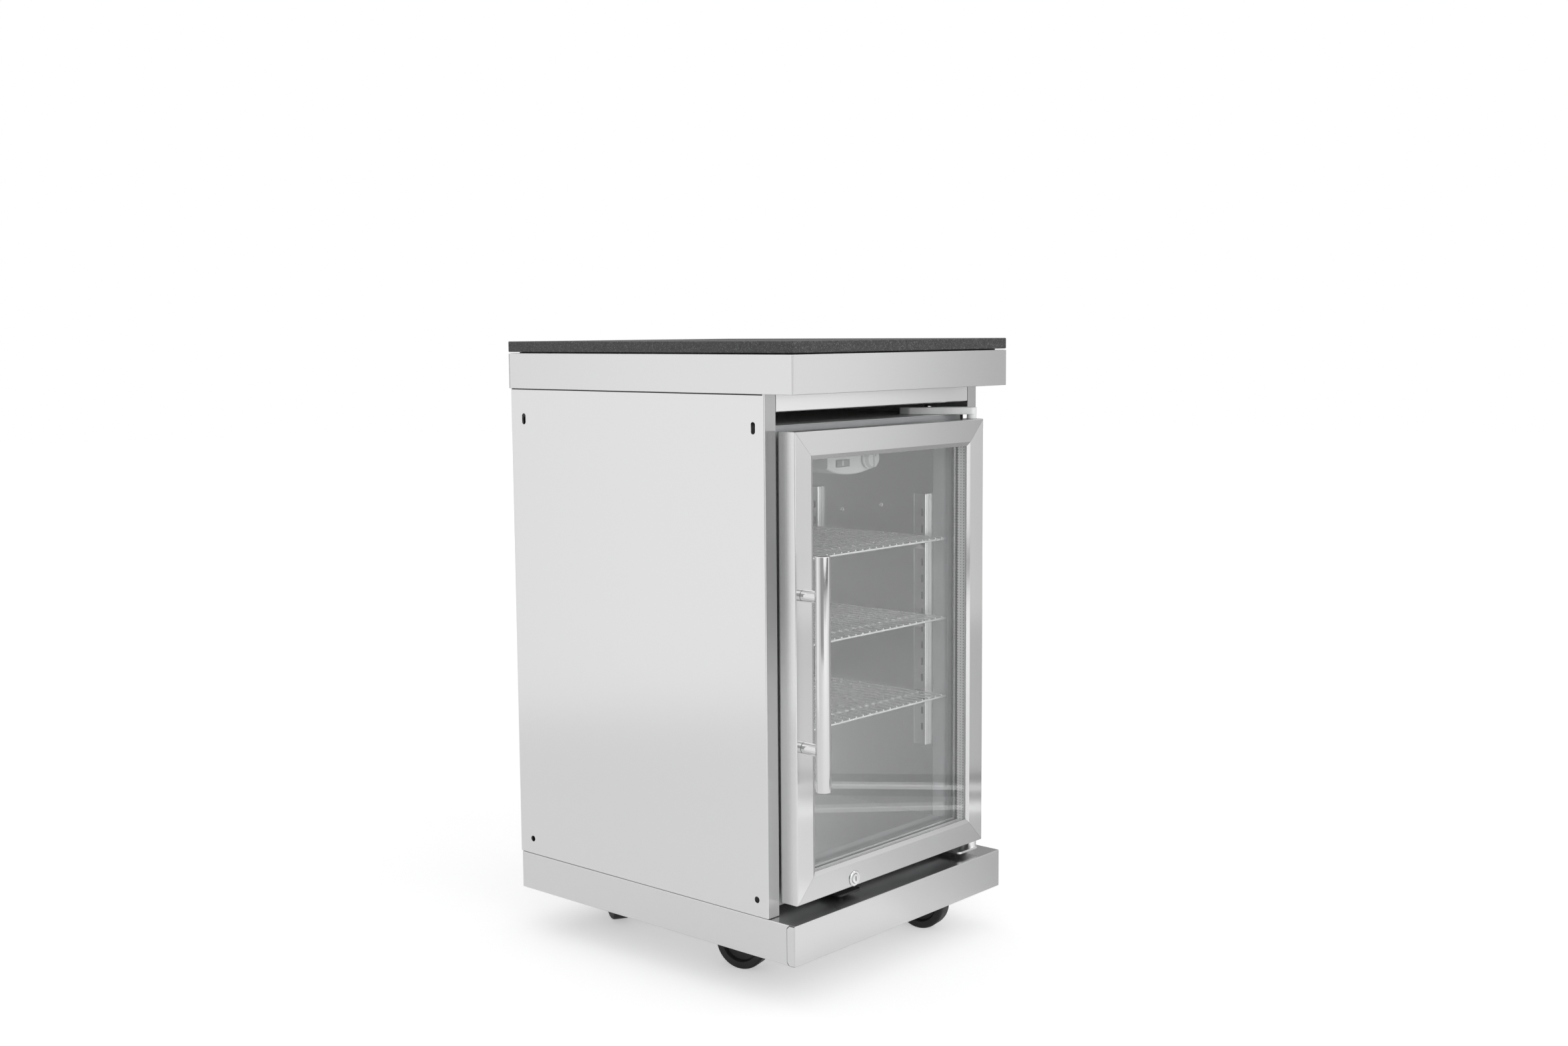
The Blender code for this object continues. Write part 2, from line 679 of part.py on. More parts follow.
def liner_prism(name, wall, front, half_width):
    """The liner's side view given its width: the outline's own x and y become world Y and Z."""
    turn = (math.pi / 2, 0.0, math.pi / 2)
    return outline(name, liner_outline(wall, front), 2 * half_width, turn=turn)


def recess_opening(spare):
    """Low and high values of the rear opening of the machine recess, shrunk by a border."""
    half = X_CASE - RECESS_SIDE + spare
    return (-half, half), (Z_CASE + RECESS_SILL - spare, Z_RECESS_TOP - RECESS_SILL + spare)


def make_case():
    case = block("case", (-X_CASE, X_CASE), (Y_FACE, Y_CASE_BACK), (Z_CASE, Z_CASE_TOP))
    inner = X_CASE - CASE_SHEET
    inner_z = (Z_CASE + CASE_SHEET, Z_CASE_TOP - CASE_SHEET)
    cut(case, block("case_inside", (-inner, inner), (Y_FACE - BEYOND, Y_CASE_BACK - CASE_SHEET), inner_z))
    opening_x, opening_z = recess_opening(0.0)
    opening_y = (Y_CASE_BACK - BEYOND / 2, Y_CASE_BACK + BEYOND)
    cut(case, block("case_recess_opening", opening_x, opening_y, opening_z))
    finish(case, BRUSHED_STEEL)


def make_insulation():
    half = X_CASE - CASE_SHEET - GAP
    span_y = (Y_FACE + COLLAR_FACE + GAP, Y_CASE_BACK - CASE_SHEET - GAP)
    span_z = (Z_RECESS, Z_CASE_TOP - CASE_SHEET - GAP)
    foam = block("insulation", (-half, half), span_y, span_z)
    spare = LINER_SHEET + GAP
    cut(foam, liner_prism("foam_for_liner", spare, Y_LINER - BEYOND, X_LINER + spare))
    wall = COLLAR_WALL + GAP
    collar_x = (-X_LINER - wall, X_LINER + wall)
    collar_z = (Z_LINER - wall, Z_LINER_TOP + wall)
    cut(foam, block("foam_for_collar", collar_x, (Y_FACE - BEYOND, Y_LINER), collar_z))
    evaporator_x, evaporator_y, evaporator_z = evaporator_spans(GAP)
    cut(foam, block("foam_for_evaporator", evaporator_x, evaporator_y, evaporator_z))
    recess_y = (Y_RECESS, Y_CASE_BACK + BEYOND)
    cut(foam, block("foam_recess", (-X_CASE, X_CASE), recess_y, (Z_CASE - BEYOND, Z_RECESS_TOP)))
    finish(foam, PALE_FOAM)


def evaporator_spans(spare):
    half = X_LINER - EVAPORATOR_SIDE_INSET + spare
    front = Y_LINER_BACK + LINER_SHEET + GAP
    top = Z_LINER_TOP - EVAPORATOR_DROP
    low = Z_HUMP + EVAPORATOR_LIFT
    return (-half, half), (front - spare, front + EVAPORATOR_THICKNESS + spare), (low - spare, top + spare)


def make_evaporator():
    finish(block("evaporator", *evaporator_spans(0.0)), COPPER_ALUMINIUM)


def make_liner():
    liner = liner_prism("liner", LINER_SHEET, Y_LINER, X_LINER + LINER_SHEET)
    cut(liner, liner_prism("liner_inside", 0.0, Y_LINER - BEYOND, X_LINER))
    finish(liner, POLISHED_STEEL)


def make_collar():
    half = X_CASE - CASE_SHEET - GAP
    face_z = (Z_RECESS, Z_CASE_TOP - CASE_SHEET - GAP)
    collar = block("front_collar", (-half, half), (Y_FACE, Y_FACE + COLLAR_FACE), face_z)
    wall_x = (-X_LINER - COLLAR_WALL, X_LINER + COLLAR_WALL)
    wall_z = (Z_LINER - COLLAR_WALL, Z_LINER_TOP + COLLAR_WALL)
    fuse(collar, block("collar_wall", wall_x, (Y_FACE + COLLAR_FACE / 2, Y_LINER - GAP), wall_z))
    mouth_y = (Y_FACE - BEYOND, Y_LINER + BEYOND)
    cut(collar, block("collar_mouth", (-X_LINER, X_LINER), mouth_y, (Z_LINER, Z_LINER_TOP)))
    finish(collar, GREY_PLASTIC)


def make_feet():
    x = X_CASE - FOOT_INSET
    length = FOOT_HEIGHT - 2 * GAP
    z = Z_DECK + FOOT_HEIGHT / 2
    for front, y in (("front", Y_FACE + BOTTOM_PLATE_UNDER + FOOT_INSET), ("rear", Y_CASE_BACK - FOOT_INSET)):
        for side, at in (("left", -x), ("right", x)):
            finish(cylinder(f"foot_{front}_{side}", FOOT_RADIUS, length, (at, y, z), (0, 0, 1)), BLACK_RUBBER)


# Cooling unit

def make_compressor():
    y = (Y_RECESS + Y_CASE_BACK) / 2
    half = COMPRESSOR_BASE / 2
    plate_x = (X_COMPRESSOR - half, X_COMPRESSOR + half)
    plate_z = (Z_RECESS, Z_RECESS + COMPRESSOR_BASE_THICKNESS)
    compressor = block("compressor", plate_x, (y - half, y + half), plate_z)
    low = Z_RECESS + COMPRESSOR_BASE_THICKNESS / 2
    middle = (X_COMPRESSOR, y, low + COMPRESSOR_HEIGHT / 2)
    dome = cylinder("compressor_dome", COMPRESSOR_RADIUS, COMPRESSOR_HEIGHT, middle, (0, 0, 1))
    bevel(dome, COMPRESSOR_BEVEL, 3)
    fuse(compressor, dome)
    finish(compressor, BLACK_PAINT)


def condenser_spans():
    half = CONDENSER_WIDTH / 2
    front = Y_RECESS + GAP
    span_x = (X_CONDENSER - half, X_CONDENSER + half)
    return span_x, (front, front + CONDENSER_DEPTH), (Z_RECESS, Z_RECESS + CONDENSER_HEIGHT)


def make_condenser():
    span_x, span_y, span_z = condenser_spans()
    condenser = block("condenser", span_x, span_y, span_z)
    pitch = CONDENSER_WIDTH / FIN_COUNT
    first = span_x[0] + (pitch - FIN_SLOT) / 2
    slot_y = (span_y[1] - FIN_SLOT_DEPTH, span_y[1] + BEYOND)
    slot = block("fin_slots", (first, first + FIN_SLOT), slot_y, (span_z[0] - BEYOND, span_z[1] + BEYOND))
    cut(condenser, repeat(slot, FIN_COUNT, (pitch, 0.0, 0.0)))
    finish(condenser, COPPER_ALUMINIUM)


def make_fan():
    y_fan = condenser_spans()[1][1] + FAN_TO_CONDENSER
    z = Z_RECESS + FAN_HEIGHT
    y_motor = y_fan + FAN_HUB_LENGTH / 2 + RUNNING_GAP
    motor_middle = (X_CONDENSER, y_motor + MOTOR_LENGTH / 2, z)
    motor = cylinder("fan_motor", MOTOR_RADIUS, MOTOR_LENGTH, motor_middle, (0, 1, 0))
    half = MOTOR_POST_WIDTH / 2
    post_x = (X_CONDENSER - half, X_CONDENSER + half)
    post_y = (y_motor + MOTOR_LENGTH - MOTOR_POST_DEPTH, y_motor + MOTOR_LENGTH)
    fuse(motor, block("motor_post", post_x, post_y, (Z_RECESS, z)))
    shaft_low = y_fan - FAN_HUB_LENGTH / 2
    shaft_high = y_motor + MOTOR_LENGTH / 2
    shaft_middle = (X_CONDENSER, (shaft_low + shaft_high) / 2, z)
    shaft_length = shaft_high - shaft_low
    fuse(motor, cylinder("motor_shaft", FAN_SHAFT_RADIUS, shaft_length, shaft_middle, (0, 1, 0), TINY_SIDES))
    finish(motor, BLACK_PAINT)

    axis = pivot("fan_axis", (X_CONDENSER, y_fan, z))
    hub_middle = (X_CONDENSER, y_fan, z)
    fan = cylinder("fan_blades", FAN_HUB_RADIUS, FAN_HUB_LENGTH, hub_middle, (0, 1, 0))
    root = FAN_HUB_RADIUS / 2
    for number in range(FAN_BLADE_COUNT):
        blade = block("blade", (-FAN_BLADE_WIDTH / 2, FAN_BLADE_WIDTH / 2),
                      (-FAN_BLADE_THICKNESS / 2, FAN_BLADE_THICKNESS / 2), (root, FAN_RADIUS))
        turn = Matrix.Rotation(math.tau * number / FAN_BLADE_COUNT, 4, "Y")
        pitch = Matrix.Rotation(math.radians(FAN_BLADE_PITCH), 4, "Z")
        blade.matrix_world = Matrix.Translation(hub_middle) @ turn @ pitch @ blade.matrix_basis
        fuse(fan, blade)
    bore = FAN_SHAFT_RADIUS + GAP
    cut(fan, cylinder("fan_bore", bore, FAN_HUB_LENGTH + BEYOND, hub_middle, (0, 1, 0), TINY_SIDES))
    hang(fan, axis)
    finish(fan, GREY_PLASTIC)


def make_grille():
    span_x, span_z = recess_opening(GRILLE_OVERLAP)
    low = max(span_z[0], Z_CASE)
    span_y = (Y_CASE_BACK + GAP, Y_CASE_BACK + GAP + GRILLE_THICKNESS)
    grille = block("rear_grille", span_x, span_y, (low, span_z[1]))
    opening_x, opening_z = recess_opening(0.0)
    slots_height = (GRILLE_SLOT_COUNT - 1) * GRILLE_SLOT_PITCH + GRILLE_SLOT_HEIGHT
    first = (opening_z[0] + opening_z[1] - slots_height) / 2
    slot_x = (opening_x[0] + INLET_BAY, opening_x[1] - GRILLE_OVERLAP)
    slot_y = (span_y[0] - BEYOND, span_y[1] + BEYOND)
    slot = block("grille_slots", slot_x, slot_y, (first, first + GRILLE_SLOT_HEIGHT))
    cut(grille, repeat(slot, GRILLE_SLOT_COUNT, (0.0, 0.0, GRILLE_SLOT_PITCH)))
    inlet_middle = opening_x[0] + INLET_BAY / 2
    inlet_x = (inlet_middle - INLET_WIDTH / 2, inlet_middle + INLET_WIDTH / 2)
    inlet_low = opening_z[0] + INLET_LIFT
    inlet_z = (inlet_low, inlet_low + INLET_HEIGHT)
    inlet_y = (span_y[0] + GRILLE_THICKNESS / 2, span_y[1] + INLET_DEPTH)
    fuse(grille, block("cord_inlet", inlet_x, inlet_y, inlet_z))
    pocket_x = (inlet_x[0] + INLET_WALL, inlet_x[1] - INLET_WALL)
    pocket_y = (span_y[1] + INLET_FLOOR, inlet_y[1] + BEYOND)
    pocket_z = (inlet_z[0] + INLET_WALL, inlet_z[1] - INLET_WALL)
    cut(grille, block("inlet_pocket", pocket_x, pocket_y, pocket_z))
    finish(grille, BLACK_PAINT)


# Shelves

def shelf_level(number):
    """Height of the middle of a shelf's cross bars."""
    return Z_LINER + SHELF_SHARES[number] * (Z_LINER_TOP - Z_LINER)


def standard_middles():
    return (Y_LINER + STANDARD_FRONT_OFFSET, Y_HUMP - STANDARD_REAR_SETBACK)


def make_standard(name, side, y):
    wall = X_LINER - GAP
    face = wall - STANDARD_PROUD
    half = STANDARD_WIDTH / 2
    span_x = tuple(sorted((side * wall, side * face)))
    span_z = (Z_LINER + STANDARD_LIFT, Z_LINER_TOP - STANDARD_DROP)
    standard = block(name, span_x, (y - half, y + half), span_z)
    tip = face - CLIP_REACH
    root = face + STANDARD_PROUD / 2
    for number in range(len(SHELF_SHARES)):
        top = shelf_level(number) - SHELF_BAR / 2 - GAP
        under = top - CLIP_DROP
        points = [(root, top), (tip, top), (tip, top - CLIP_EDGE), (face, under), (root, under)]
        if side < 0:
            points = [(-u, v) for u, v in reversed(points)]
        fuse(standard, outline("clip", points, CLIP_WIDTH, (0.0, y, 0.0), (math.pi / 2, 0.0, 0.0)))
    finish(standard, POLISHED_STEEL)


def make_standards():
    front, rear = standard_middles()
    for side_name, side in (("left", -1), ("right", 1)):
        make_standard("shelf_standard_front_" + side_name, side, front)
        make_standard("shelf_standard_rear_" + side_name, side, rear)


def make_shelf(number):
    z = shelf_level(number)
    bar = SHELF_BAR / 2
    wire = SHELF_WIRE / 2
    y_front = Y_FACE + SHELF_FRONT_INSET
    y_rear = Y_LINER_BACK - SHELF_BACK_GAP
    z_wire = z + bar + wire - SHELF_WELD
    name = ("shelf_bottom", "shelf_middle", "shelf_top")[number]
    half = X_LINER - SHELF_SIDE_AIR
    pitch = 2 * (half - wire) / (SHELF_WIRE_COUNT - 1)
    first_x = (-half, wire * 2 - half)
    wires_y = (y_front - bar / 2, y_rear + bar / 2)
    wires = block("long_wires", first_x, wires_y, (z_wire - wire, z_wire + wire))
    repeat(wires, SHELF_WIRE_COUNT, (pitch, 0.0, 0.0))
    bar_z = (z - bar, z + bar)
    front_half = X_LINER - SHELF_FRONT_SIDE_AIR
    shelf = block(name, (-front_half, front_half), (y_front - bar, y_front + bar), bar_z)
    fuse(shelf, wires)
    overhang = half + SHELF_WIRE / 4
    for y in (*standard_middles(), y_rear):
        fuse(shelf, block("cross_bar", (-overhang, overhang), (y - bar, y + bar), bar_z))
    finish(shelf, POLISHED_STEEL)


# Control housing

def make_controls():
    y_front = Y_LINER + HOUSING_FRONT_OFFSET
    top = Z_LINER_TOP - GAP
    low = Z_LINER_TOP - HOUSING_DROP
    half = HOUSING_WIDTH / 2
    across = [2 * step / HOUSING_STEPS - 1 for step in range(HOUSING_STEPS + 1)]
    belly = [(half * u, low + HOUSING_CROWN * u * u) for u in across]
    points = [(-half, top)] + belly + [(half, top)]
    middle = (0.0, y_front + HOUSING_DEPTH / 2, 0.0)
    housing = outline("control_housing", points, HOUSING_DEPTH, middle, (math.pi / 2, 0.0, 0.0))
    rocker_z = Z_LINER_TOP - ROCKER_DROP
    pocket_half = ROCKER_WIDTH / 2 + ROCKER_POCKET_MARGIN
    pocket_tall = ROCKER_HEIGHT / 2 + ROCKER_POCKET_MARGIN / 2
    pocket_x = (ROCKER_OFFSET - pocket_half, ROCKER_OFFSET + pocket_half)
    pocket_y = (y_front - BEYOND, y_front + ROCKER_POCKET_DEPTH)
    cut(housing, block("rocker_pocket", pocket_x, pocket_y, (rocker_z - pocket_tall, rocker_z + pocket_tall)))
    rocker_y = y_front + ROCKER_THICKNESS / 2
    pin_radius = ROCKER_THICKNESS / 4
    pin_length = 2 * (pocket_tall - GAP)
    finish(housing, WHITE_PLASTIC)

    axis = pivot("rocker_axis", (ROCKER_OFFSET, rocker_y, rocker_z), math.radians(ROCKER_TILT))
    half_width = ROCKER_WIDTH / 2
    half_height = ROCKER_HEIGHT / 2
    half_depth = ROCKER_THICKNESS / 2
    rocker_sides = ((-half_width, half_width), (-half_depth, half_depth), (-half_height, half_height))
    rocker = block("light_switch", *rocker_sides)
    trunnion = cylinder("rocker_pin", pin_radius, pin_length, (0.0, 0.0, 0.0), (0, 0, 1), TINY_SIDES)
    seat(trunnion, axis)
    fuse(rocker, trunnion)
    seat(rocker, axis)
    finish(rocker, GREY_PLASTIC)

    knob_z = Z_LINER_TOP - KNOB_DROP
    knob_axis = pivot("knob_axis", (KNOB_OFFSET, y_front, knob_z))
    knob_middle = (KNOB_OFFSET, y_front - GAP - KNOB_LENGTH / 2, knob_z)
    knob = cylinder("thermostat_knob", KNOB_RADIUS, KNOB_LENGTH, knob_middle, (0, 1, 0))
    grip_y = (knob_middle[1] - KNOB_LENGTH / 2 - KNOB_GRIP_PROUD, knob_middle[1])
    grip_x = (KNOB_OFFSET - KNOB_GRIP_WIDTH / 2, KNOB_OFFSET + KNOB_GRIP_WIDTH / 2)
    grip_half = KNOB_GRIP_LENGTH / 2
    fuse(knob, block("knob_grip", grip_x, grip_y, (knob_z - grip_half, knob_z + grip_half)))
    hang(knob, knob_axis)
    finish(knob, WHITE_PLASTIC)


# Door

def frame_profile():
    """Section of a door rail: distance in from the door's edge, and depth back from its face."""
    back = DOOR_THICKNESS
    return [
        (0.0, 0.0),
        (FRAME_FACE, 0.0),
        (FRAME_BORDER, FRAME_LIP_SET),
        (FRAME_BORDER, FRAME_FRONT_WEB),
        (GLASS_EDGE, FRAME_FRONT_WEB),
        (GLASS_EDGE, back - FRAME_BACK_WEB),
        (FRAME_BORDER, back - FRAME_BACK_WEB),
        (FRAME_BORDER, back),
        (0.0, back),
    ]


def mitred_rail(name, length, edge, inward):
    """A door rail of a given length, whose edge line has a middle point and an inward direction."""
    inward = Vector(inward)
    backward = Vector((0.0, 1.0, 0.0))
    along = inward.cross(backward)
    rail = outline(name, frame_profile(), length)
    shape = bmesh.new()
    shape.from_mesh(rail.data)
    turn = Matrix((inward, backward, along)).transposed()
    bmesh.ops.transform(shape, matrix=turn.to_4x4(), verts=shape.verts)
    for end in (-1, 1):
        corner = along * end * (length / 2 - GAP / 2)
        normal = along * end + inward
        everything = shape.verts[:] + shape.edges[:] + shape.faces[:]
        bmesh.ops.bisect_plane(
            shape, geom=everything, dist=0.000001, plane_co=corner, plane_no=normal, clear_outer=True
        )
        rim = [item for item in shape.edges if item.is_boundary]
        bmesh.ops.contextual_create(shape, geom=rim)
    bmesh.ops.recalc_face_normals(shape, faces=shape.faces)
    shape.to_mesh(rail.data)
    shape.free()
    rail.location = edge
    return rail


def make_door_frame(hinge):
    middle_z = (Z_DOOR + Z_DOOR_TOP) / 2
    width = 2 * X_DOOR
    height = Z_DOOR_TOP - Z_DOOR
    top = mitred_rail("door_rail_top", width, (0.0, Y_DOOR, Z_DOOR_TOP), (0, 0, -1))
    bottom = mitred_rail("door_rail_bottom", width, (0.0, Y_DOOR, Z_DOOR), (0, 0, 1))
    left = mitred_rail("door_stile_left", height, (-X_DOOR, Y_DOOR, middle_z), (1, 0, 0))
    right = mitred_rail("door_stile_right", height, (X_DOOR, Y_DOOR, middle_z), (-1, 0, 0))
    bore = PIN_RADIUS + GAP
    bore_length = 2 * (PIN_REACH + PIN_BORE_SPARE)
    for rail, z in ((top, Z_DOOR_TOP), (bottom, Z_DOOR)):
        bore_middle = (HINGE_X, HINGE_Y, z)
        cut(rail, cylinder("pin_bore", bore, bore_length, bore_middle, (0, 0, 1), SMALL_SIDES))
    cut_lock_bores(bottom)
    for rail in (top, bottom, left, right):
        hang(rail, hinge)
        finish(rail, BRUSHED_STEEL)


def make_glazing(hinge):
    edge = GLASS_EDGE + GAP
    span_x = (edge - X_DOOR, X_DOOR - edge)
    span_z = (Z_DOOR + edge, Z_DOOR_TOP - edge)
    y_outer = Y_DOOR + FRAME_FRONT_WEB + GAP
    y_inner = Y_DOOR_BACK - FRAME_BACK_WEB - GAP - GLASS_THICKNESS
    outer = block("outer_glass", span_x, (y_outer, y_outer + GLASS_THICKNESS), span_z)
    inner = block("inner_glass", span_x, (y_inner, y_inner + GLASS_THICKNESS), span_z)
    spacer_y = (y_outer + GLASS_THICKNESS + GAP, y_inner - GAP)
    spacer = ring("glass_spacer", span_x, spacer_y, span_z, SPACER_WIDTH)
    for pane in (outer, inner):
        hang(pane, hinge)
        finish(pane, CLEAR_GLASS)
    hang(spacer, hinge)
    finish(spacer, DULL_STEEL)


def make_gasket(hinge):
    half = X_DOOR - GASKET_INSET
    span_z = (Z_DOOR + GASKET_INSET, Z_DOOR_TOP - GASKET_INSET)
    gasket = ring("door_gasket", (-half, half), (Y_GASKET, Y_GASKET + GASKET_DEPTH), span_z, GASKET_WIDTH)
    hang(gasket, hinge)
    finish(gasket, BLACK_RUBBER)


def make_handle(hinge):
    x = FRAME_FACE / 2 - X_DOOR
    y = Y_DOOR - HANDLE_STANDOFF
    z = Z_DOOR + HANDLE_MIDDLE
    tube = cylinder("handle_tube", HANDLE_RADIUS, HANDLE_LENGTH, (x, y, z), (0, 0, 1), HANDLE_SIDES)
    hang(tube, hinge)
    finish(tube, POLISHED_STEEL)
    for name, side in (("handle_post_lower", -1), ("handle_post_upper", 1)):
        at = z + side * HANDLE_POST_SPACING / 2
        post_low = y
        post_high = Y_DOOR - GAP
        middle = (x, (post_low + post_high) / 2, at)
        post = cylinder(name, HANDLE_POST_RADIUS, post_high - post_low, middle, (0, 1, 0))
        saddle_length = 2 * HANDLE_POST_RADIUS + BEYOND
        saddle = HANDLE_RADIUS + GAP
        cut(post, cylinder(name + "_saddle", saddle, saddle_length, (x, y, at), (0, 0, 1), HANDLE_SIDES))
        hang(post, hinge)
        finish(post, POLISHED_STEEL)


# Lock

def bolt_spans(spare):
    half = BOLT_WIDTH / 2 + spare
    front = Y_DOOR + LOCK_DEPTH + GAP
    low = Z_DOOR + BOLT_RECESS
    span_y = (front - spare, front + BOLT_DEPTH + spare)
    return (LOCK_OFFSET - half, LOCK_OFFSET + half), span_y, (low, low + BOLT_LENGTH + spare)


def cut_lock_bores(rail):
    z = Z_DOOR + LOCK_LIFT
    length = LOCK_DEPTH + BEYOND
    bore_middle = (LOCK_OFFSET, Y_DOOR + LOCK_DEPTH + GAP - length / 2, z)
    cut(rail, cylinder("barrel_bore", LOCK_BARREL_RADIUS + GAP, length, bore_middle, (0, 1, 0)))
    span_x, span_y, span_z = bolt_spans(GAP)
    cut(rail, block("bolt_pocket", span_x, span_y, (Z_DOOR - BEYOND, span_z[1])))


def make_lock(hinge):
    z = Z_DOOR + LOCK_LIFT
    y_front = Y_DOOR - GAP - LOCK_FLANGE_THICKNESS
    y_end = Y_DOOR + LOCK_DEPTH - GAP
    barrel_middle = (LOCK_OFFSET, (y_front + y_end) / 2, z)
    barrel = cylinder("lock_barrel", LOCK_BARREL_RADIUS, y_end - y_front, barrel_middle, (0, 1, 0))
    flange_middle = (LOCK_OFFSET, y_front + LOCK_FLANGE_THICKNESS / 2, z)
    fuse(barrel, cylinder("lock_flange", LOCK_FLANGE_RADIUS, LOCK_FLANGE_THICKNESS, flange_middle, (0, 1, 0)))
    bore = LOCK_PLUG_RADIUS + GAP
    cut(barrel, cylinder("plug_bore", bore, y_end - y_front + BEYOND, barrel_middle, (0, 1, 0)))
    hang(barrel, hinge)
    finish(barrel, POLISHED_STEEL)

    axis = pivot("lock_axis", (LOCK_OFFSET, y_front, z))
    plug_front = y_front - LOCK_PLUG_PROUD
    plug_middle = (LOCK_OFFSET, (plug_front + y_end) / 2, z)
    plug = cylinder("lock_plug", LOCK_PLUG_RADIUS, y_end - plug_front, plug_middle, (0, 1, 0))
    half = LOCK_KEYWAY_WIDTH / 2
    tall = LOCK_KEYWAY_HEIGHT / 2
    key_x = (LOCK_OFFSET - half, LOCK_OFFSET + half)
    key_y = (plug_front - BEYOND, plug_front + LOCK_KEYWAY_DEPTH)
    cut(plug, block("keyway", key_x, key_y, (z - tall, z + tall)))
    hang(plug, axis)
    finish(plug, DULL_STEEL)

    bolt = block("lock_bolt", *bolt_spans(0.0))
    hang(bolt, hinge)
    finish(bolt, DULL_STEEL)

    half_strike = STRIKE_WIDTH / 2
    strike_x = (LOCK_OFFSET - half_strike, LOCK_OFFSET + half_strike)
    strike_top = Z_CASE - GAP
    strike_z = (strike_top - HINGE_PLATE, strike_top)
    strike = block("lock_strike", strike_x, (Y_DOOR + STRIKE_FRONT, Y_FACE + STRIKE_UNDER), strike_z)
    span_x, span_y, span_z = bolt_spans(RUNNING_GAP)
    cut(strike, block("strike_slot", span_x, span_y, (strike_z[0] - BEYOND, strike_z[1] + BEYOND)))
    finish(strike, BLACK_PAINT)


# Hinges

def pin(name, radius, low, high, sides=SMALL_SIDES):
    return cylinder(name, radius, high - low, (HINGE_X, HINGE_Y, (low + high) / 2), (0, 0, 1), sides=sides)


def make_hinges():
    plate_low = Z_CASE_TOP + GAP
    right = HINGE_X + TOP_PLATE_SIDE
    nose = HINGE_Y - TOP_PLATE_NOSE
    back = Y_FACE + TOP_PLATE_BACK
    left = right - TOP_PLATE_REACH
    shoulder = back - TOP_PLATE_SHOULDER
    points = [(right, nose), (right, back), (left, back), (left, shoulder), (HINGE_X - TOP_PLATE_SIDE, nose)]
    middle = (0.0, 0.0, plate_low + TOP_PLATE_THICKNESS / 2)
    top = outline("top_hinge", points, TOP_PLATE_THICKNESS, middle)
    join = plate_low + TOP_PLATE_THICKNESS / 2
    fuse(top, pin("top_bush", TOP_BUSH_RADIUS, Z_DOOR_TOP + GAP, join, sides=ROUND_SIDES))
    fuse(top, pin("top_pin", PIN_RADIUS, Z_DOOR_TOP - PIN_REACH, join))
    finish(top, WHITE_PLASTIC)

    plate_top = Z_CASE - GAP
    plate_x = (HINGE_X + BOTTOM_BUSH_RADIUS - BOTTOM_PLATE_WIDTH, HINGE_X + BOTTOM_BUSH_RADIUS)
    plate_y = (HINGE_Y - BOTTOM_PLATE_NOSE, Y_FACE + BOTTOM_PLATE_UNDER)
    bottom = block("bottom_hinge", plate_x, plate_y, (plate_top - HINGE_PLATE, plate_top))
    join = plate_top - HINGE_PLATE / 2
    fuse(bottom, pin("bottom_bush", BOTTOM_BUSH_RADIUS, join, Z_DOOR - GAP, sides=ROUND_SIDES))
    fuse(bottom, pin("bottom_pin", PIN_RADIUS, join, Z_DOOR + PIN_REACH))
    finish(bottom, POLISHED_STEEL)


def make_door():
    hinge = pivot("door_hinge_axis", (HINGE_X, HINGE_Y, Z_DOOR))
    make_door_frame(hinge)
    make_glazing(hinge)
    make_gasket(hinge)
    make_handle(hinge)
    make_lock(hinge)


make_countertop()
make_top_tray()
make_side_panel("side_panel_left", -1)
make_side_panel("side_panel_right", 1)
make_back_panel()
make_front_rail()
make_base_tray()
make_casters()
make_case()
make_insulation()
make_liner()
make_collar()
make_evaporator()
make_feet()
make_compressor()
make_condenser()
make_fan()
make_grille()
make_standards()
for level in range(len(SHELF_SHARES)):
    make_shelf(level)
make_controls()
make_door()
make_hinges()
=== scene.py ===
import json
import math

import bmesh
import bpy
from mathutils import Matrix, Vector

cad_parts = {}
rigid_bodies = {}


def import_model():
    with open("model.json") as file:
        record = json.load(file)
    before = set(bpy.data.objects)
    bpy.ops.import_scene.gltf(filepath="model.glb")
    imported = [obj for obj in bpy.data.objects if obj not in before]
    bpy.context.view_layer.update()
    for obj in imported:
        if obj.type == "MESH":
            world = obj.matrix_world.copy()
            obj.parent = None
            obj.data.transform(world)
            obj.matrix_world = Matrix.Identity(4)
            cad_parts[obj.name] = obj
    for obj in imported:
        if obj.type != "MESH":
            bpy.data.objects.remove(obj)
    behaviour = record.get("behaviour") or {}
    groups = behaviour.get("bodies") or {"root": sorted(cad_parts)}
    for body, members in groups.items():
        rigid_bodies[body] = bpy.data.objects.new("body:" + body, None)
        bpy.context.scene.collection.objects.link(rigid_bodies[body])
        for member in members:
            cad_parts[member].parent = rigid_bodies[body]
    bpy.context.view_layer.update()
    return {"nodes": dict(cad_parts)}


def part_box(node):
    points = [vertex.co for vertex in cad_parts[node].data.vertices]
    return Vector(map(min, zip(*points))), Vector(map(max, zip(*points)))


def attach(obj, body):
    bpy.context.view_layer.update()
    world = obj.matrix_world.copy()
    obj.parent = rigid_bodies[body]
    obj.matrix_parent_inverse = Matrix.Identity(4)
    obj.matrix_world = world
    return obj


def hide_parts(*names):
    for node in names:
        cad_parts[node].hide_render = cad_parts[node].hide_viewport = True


for item in list(bpy.data.objects):
    bpy.data.objects.remove(item, do_unlink=True)

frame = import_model()
NODES = frame["nodes"]
SCENE = bpy.context.scene
CORNERS = ("front_left", "front_right", "rear_left", "rear_right")
SHELVES = ("shelf_bottom", "shelf_middle", "shelf_top")
X_AXIS = Vector((1.0, 0.0, 0.0))
Y_AXIS = Vector((0.0, 1.0, 0.0))
Z_AXIS = Vector((0.0, 0.0, 1.0))


# Node materials

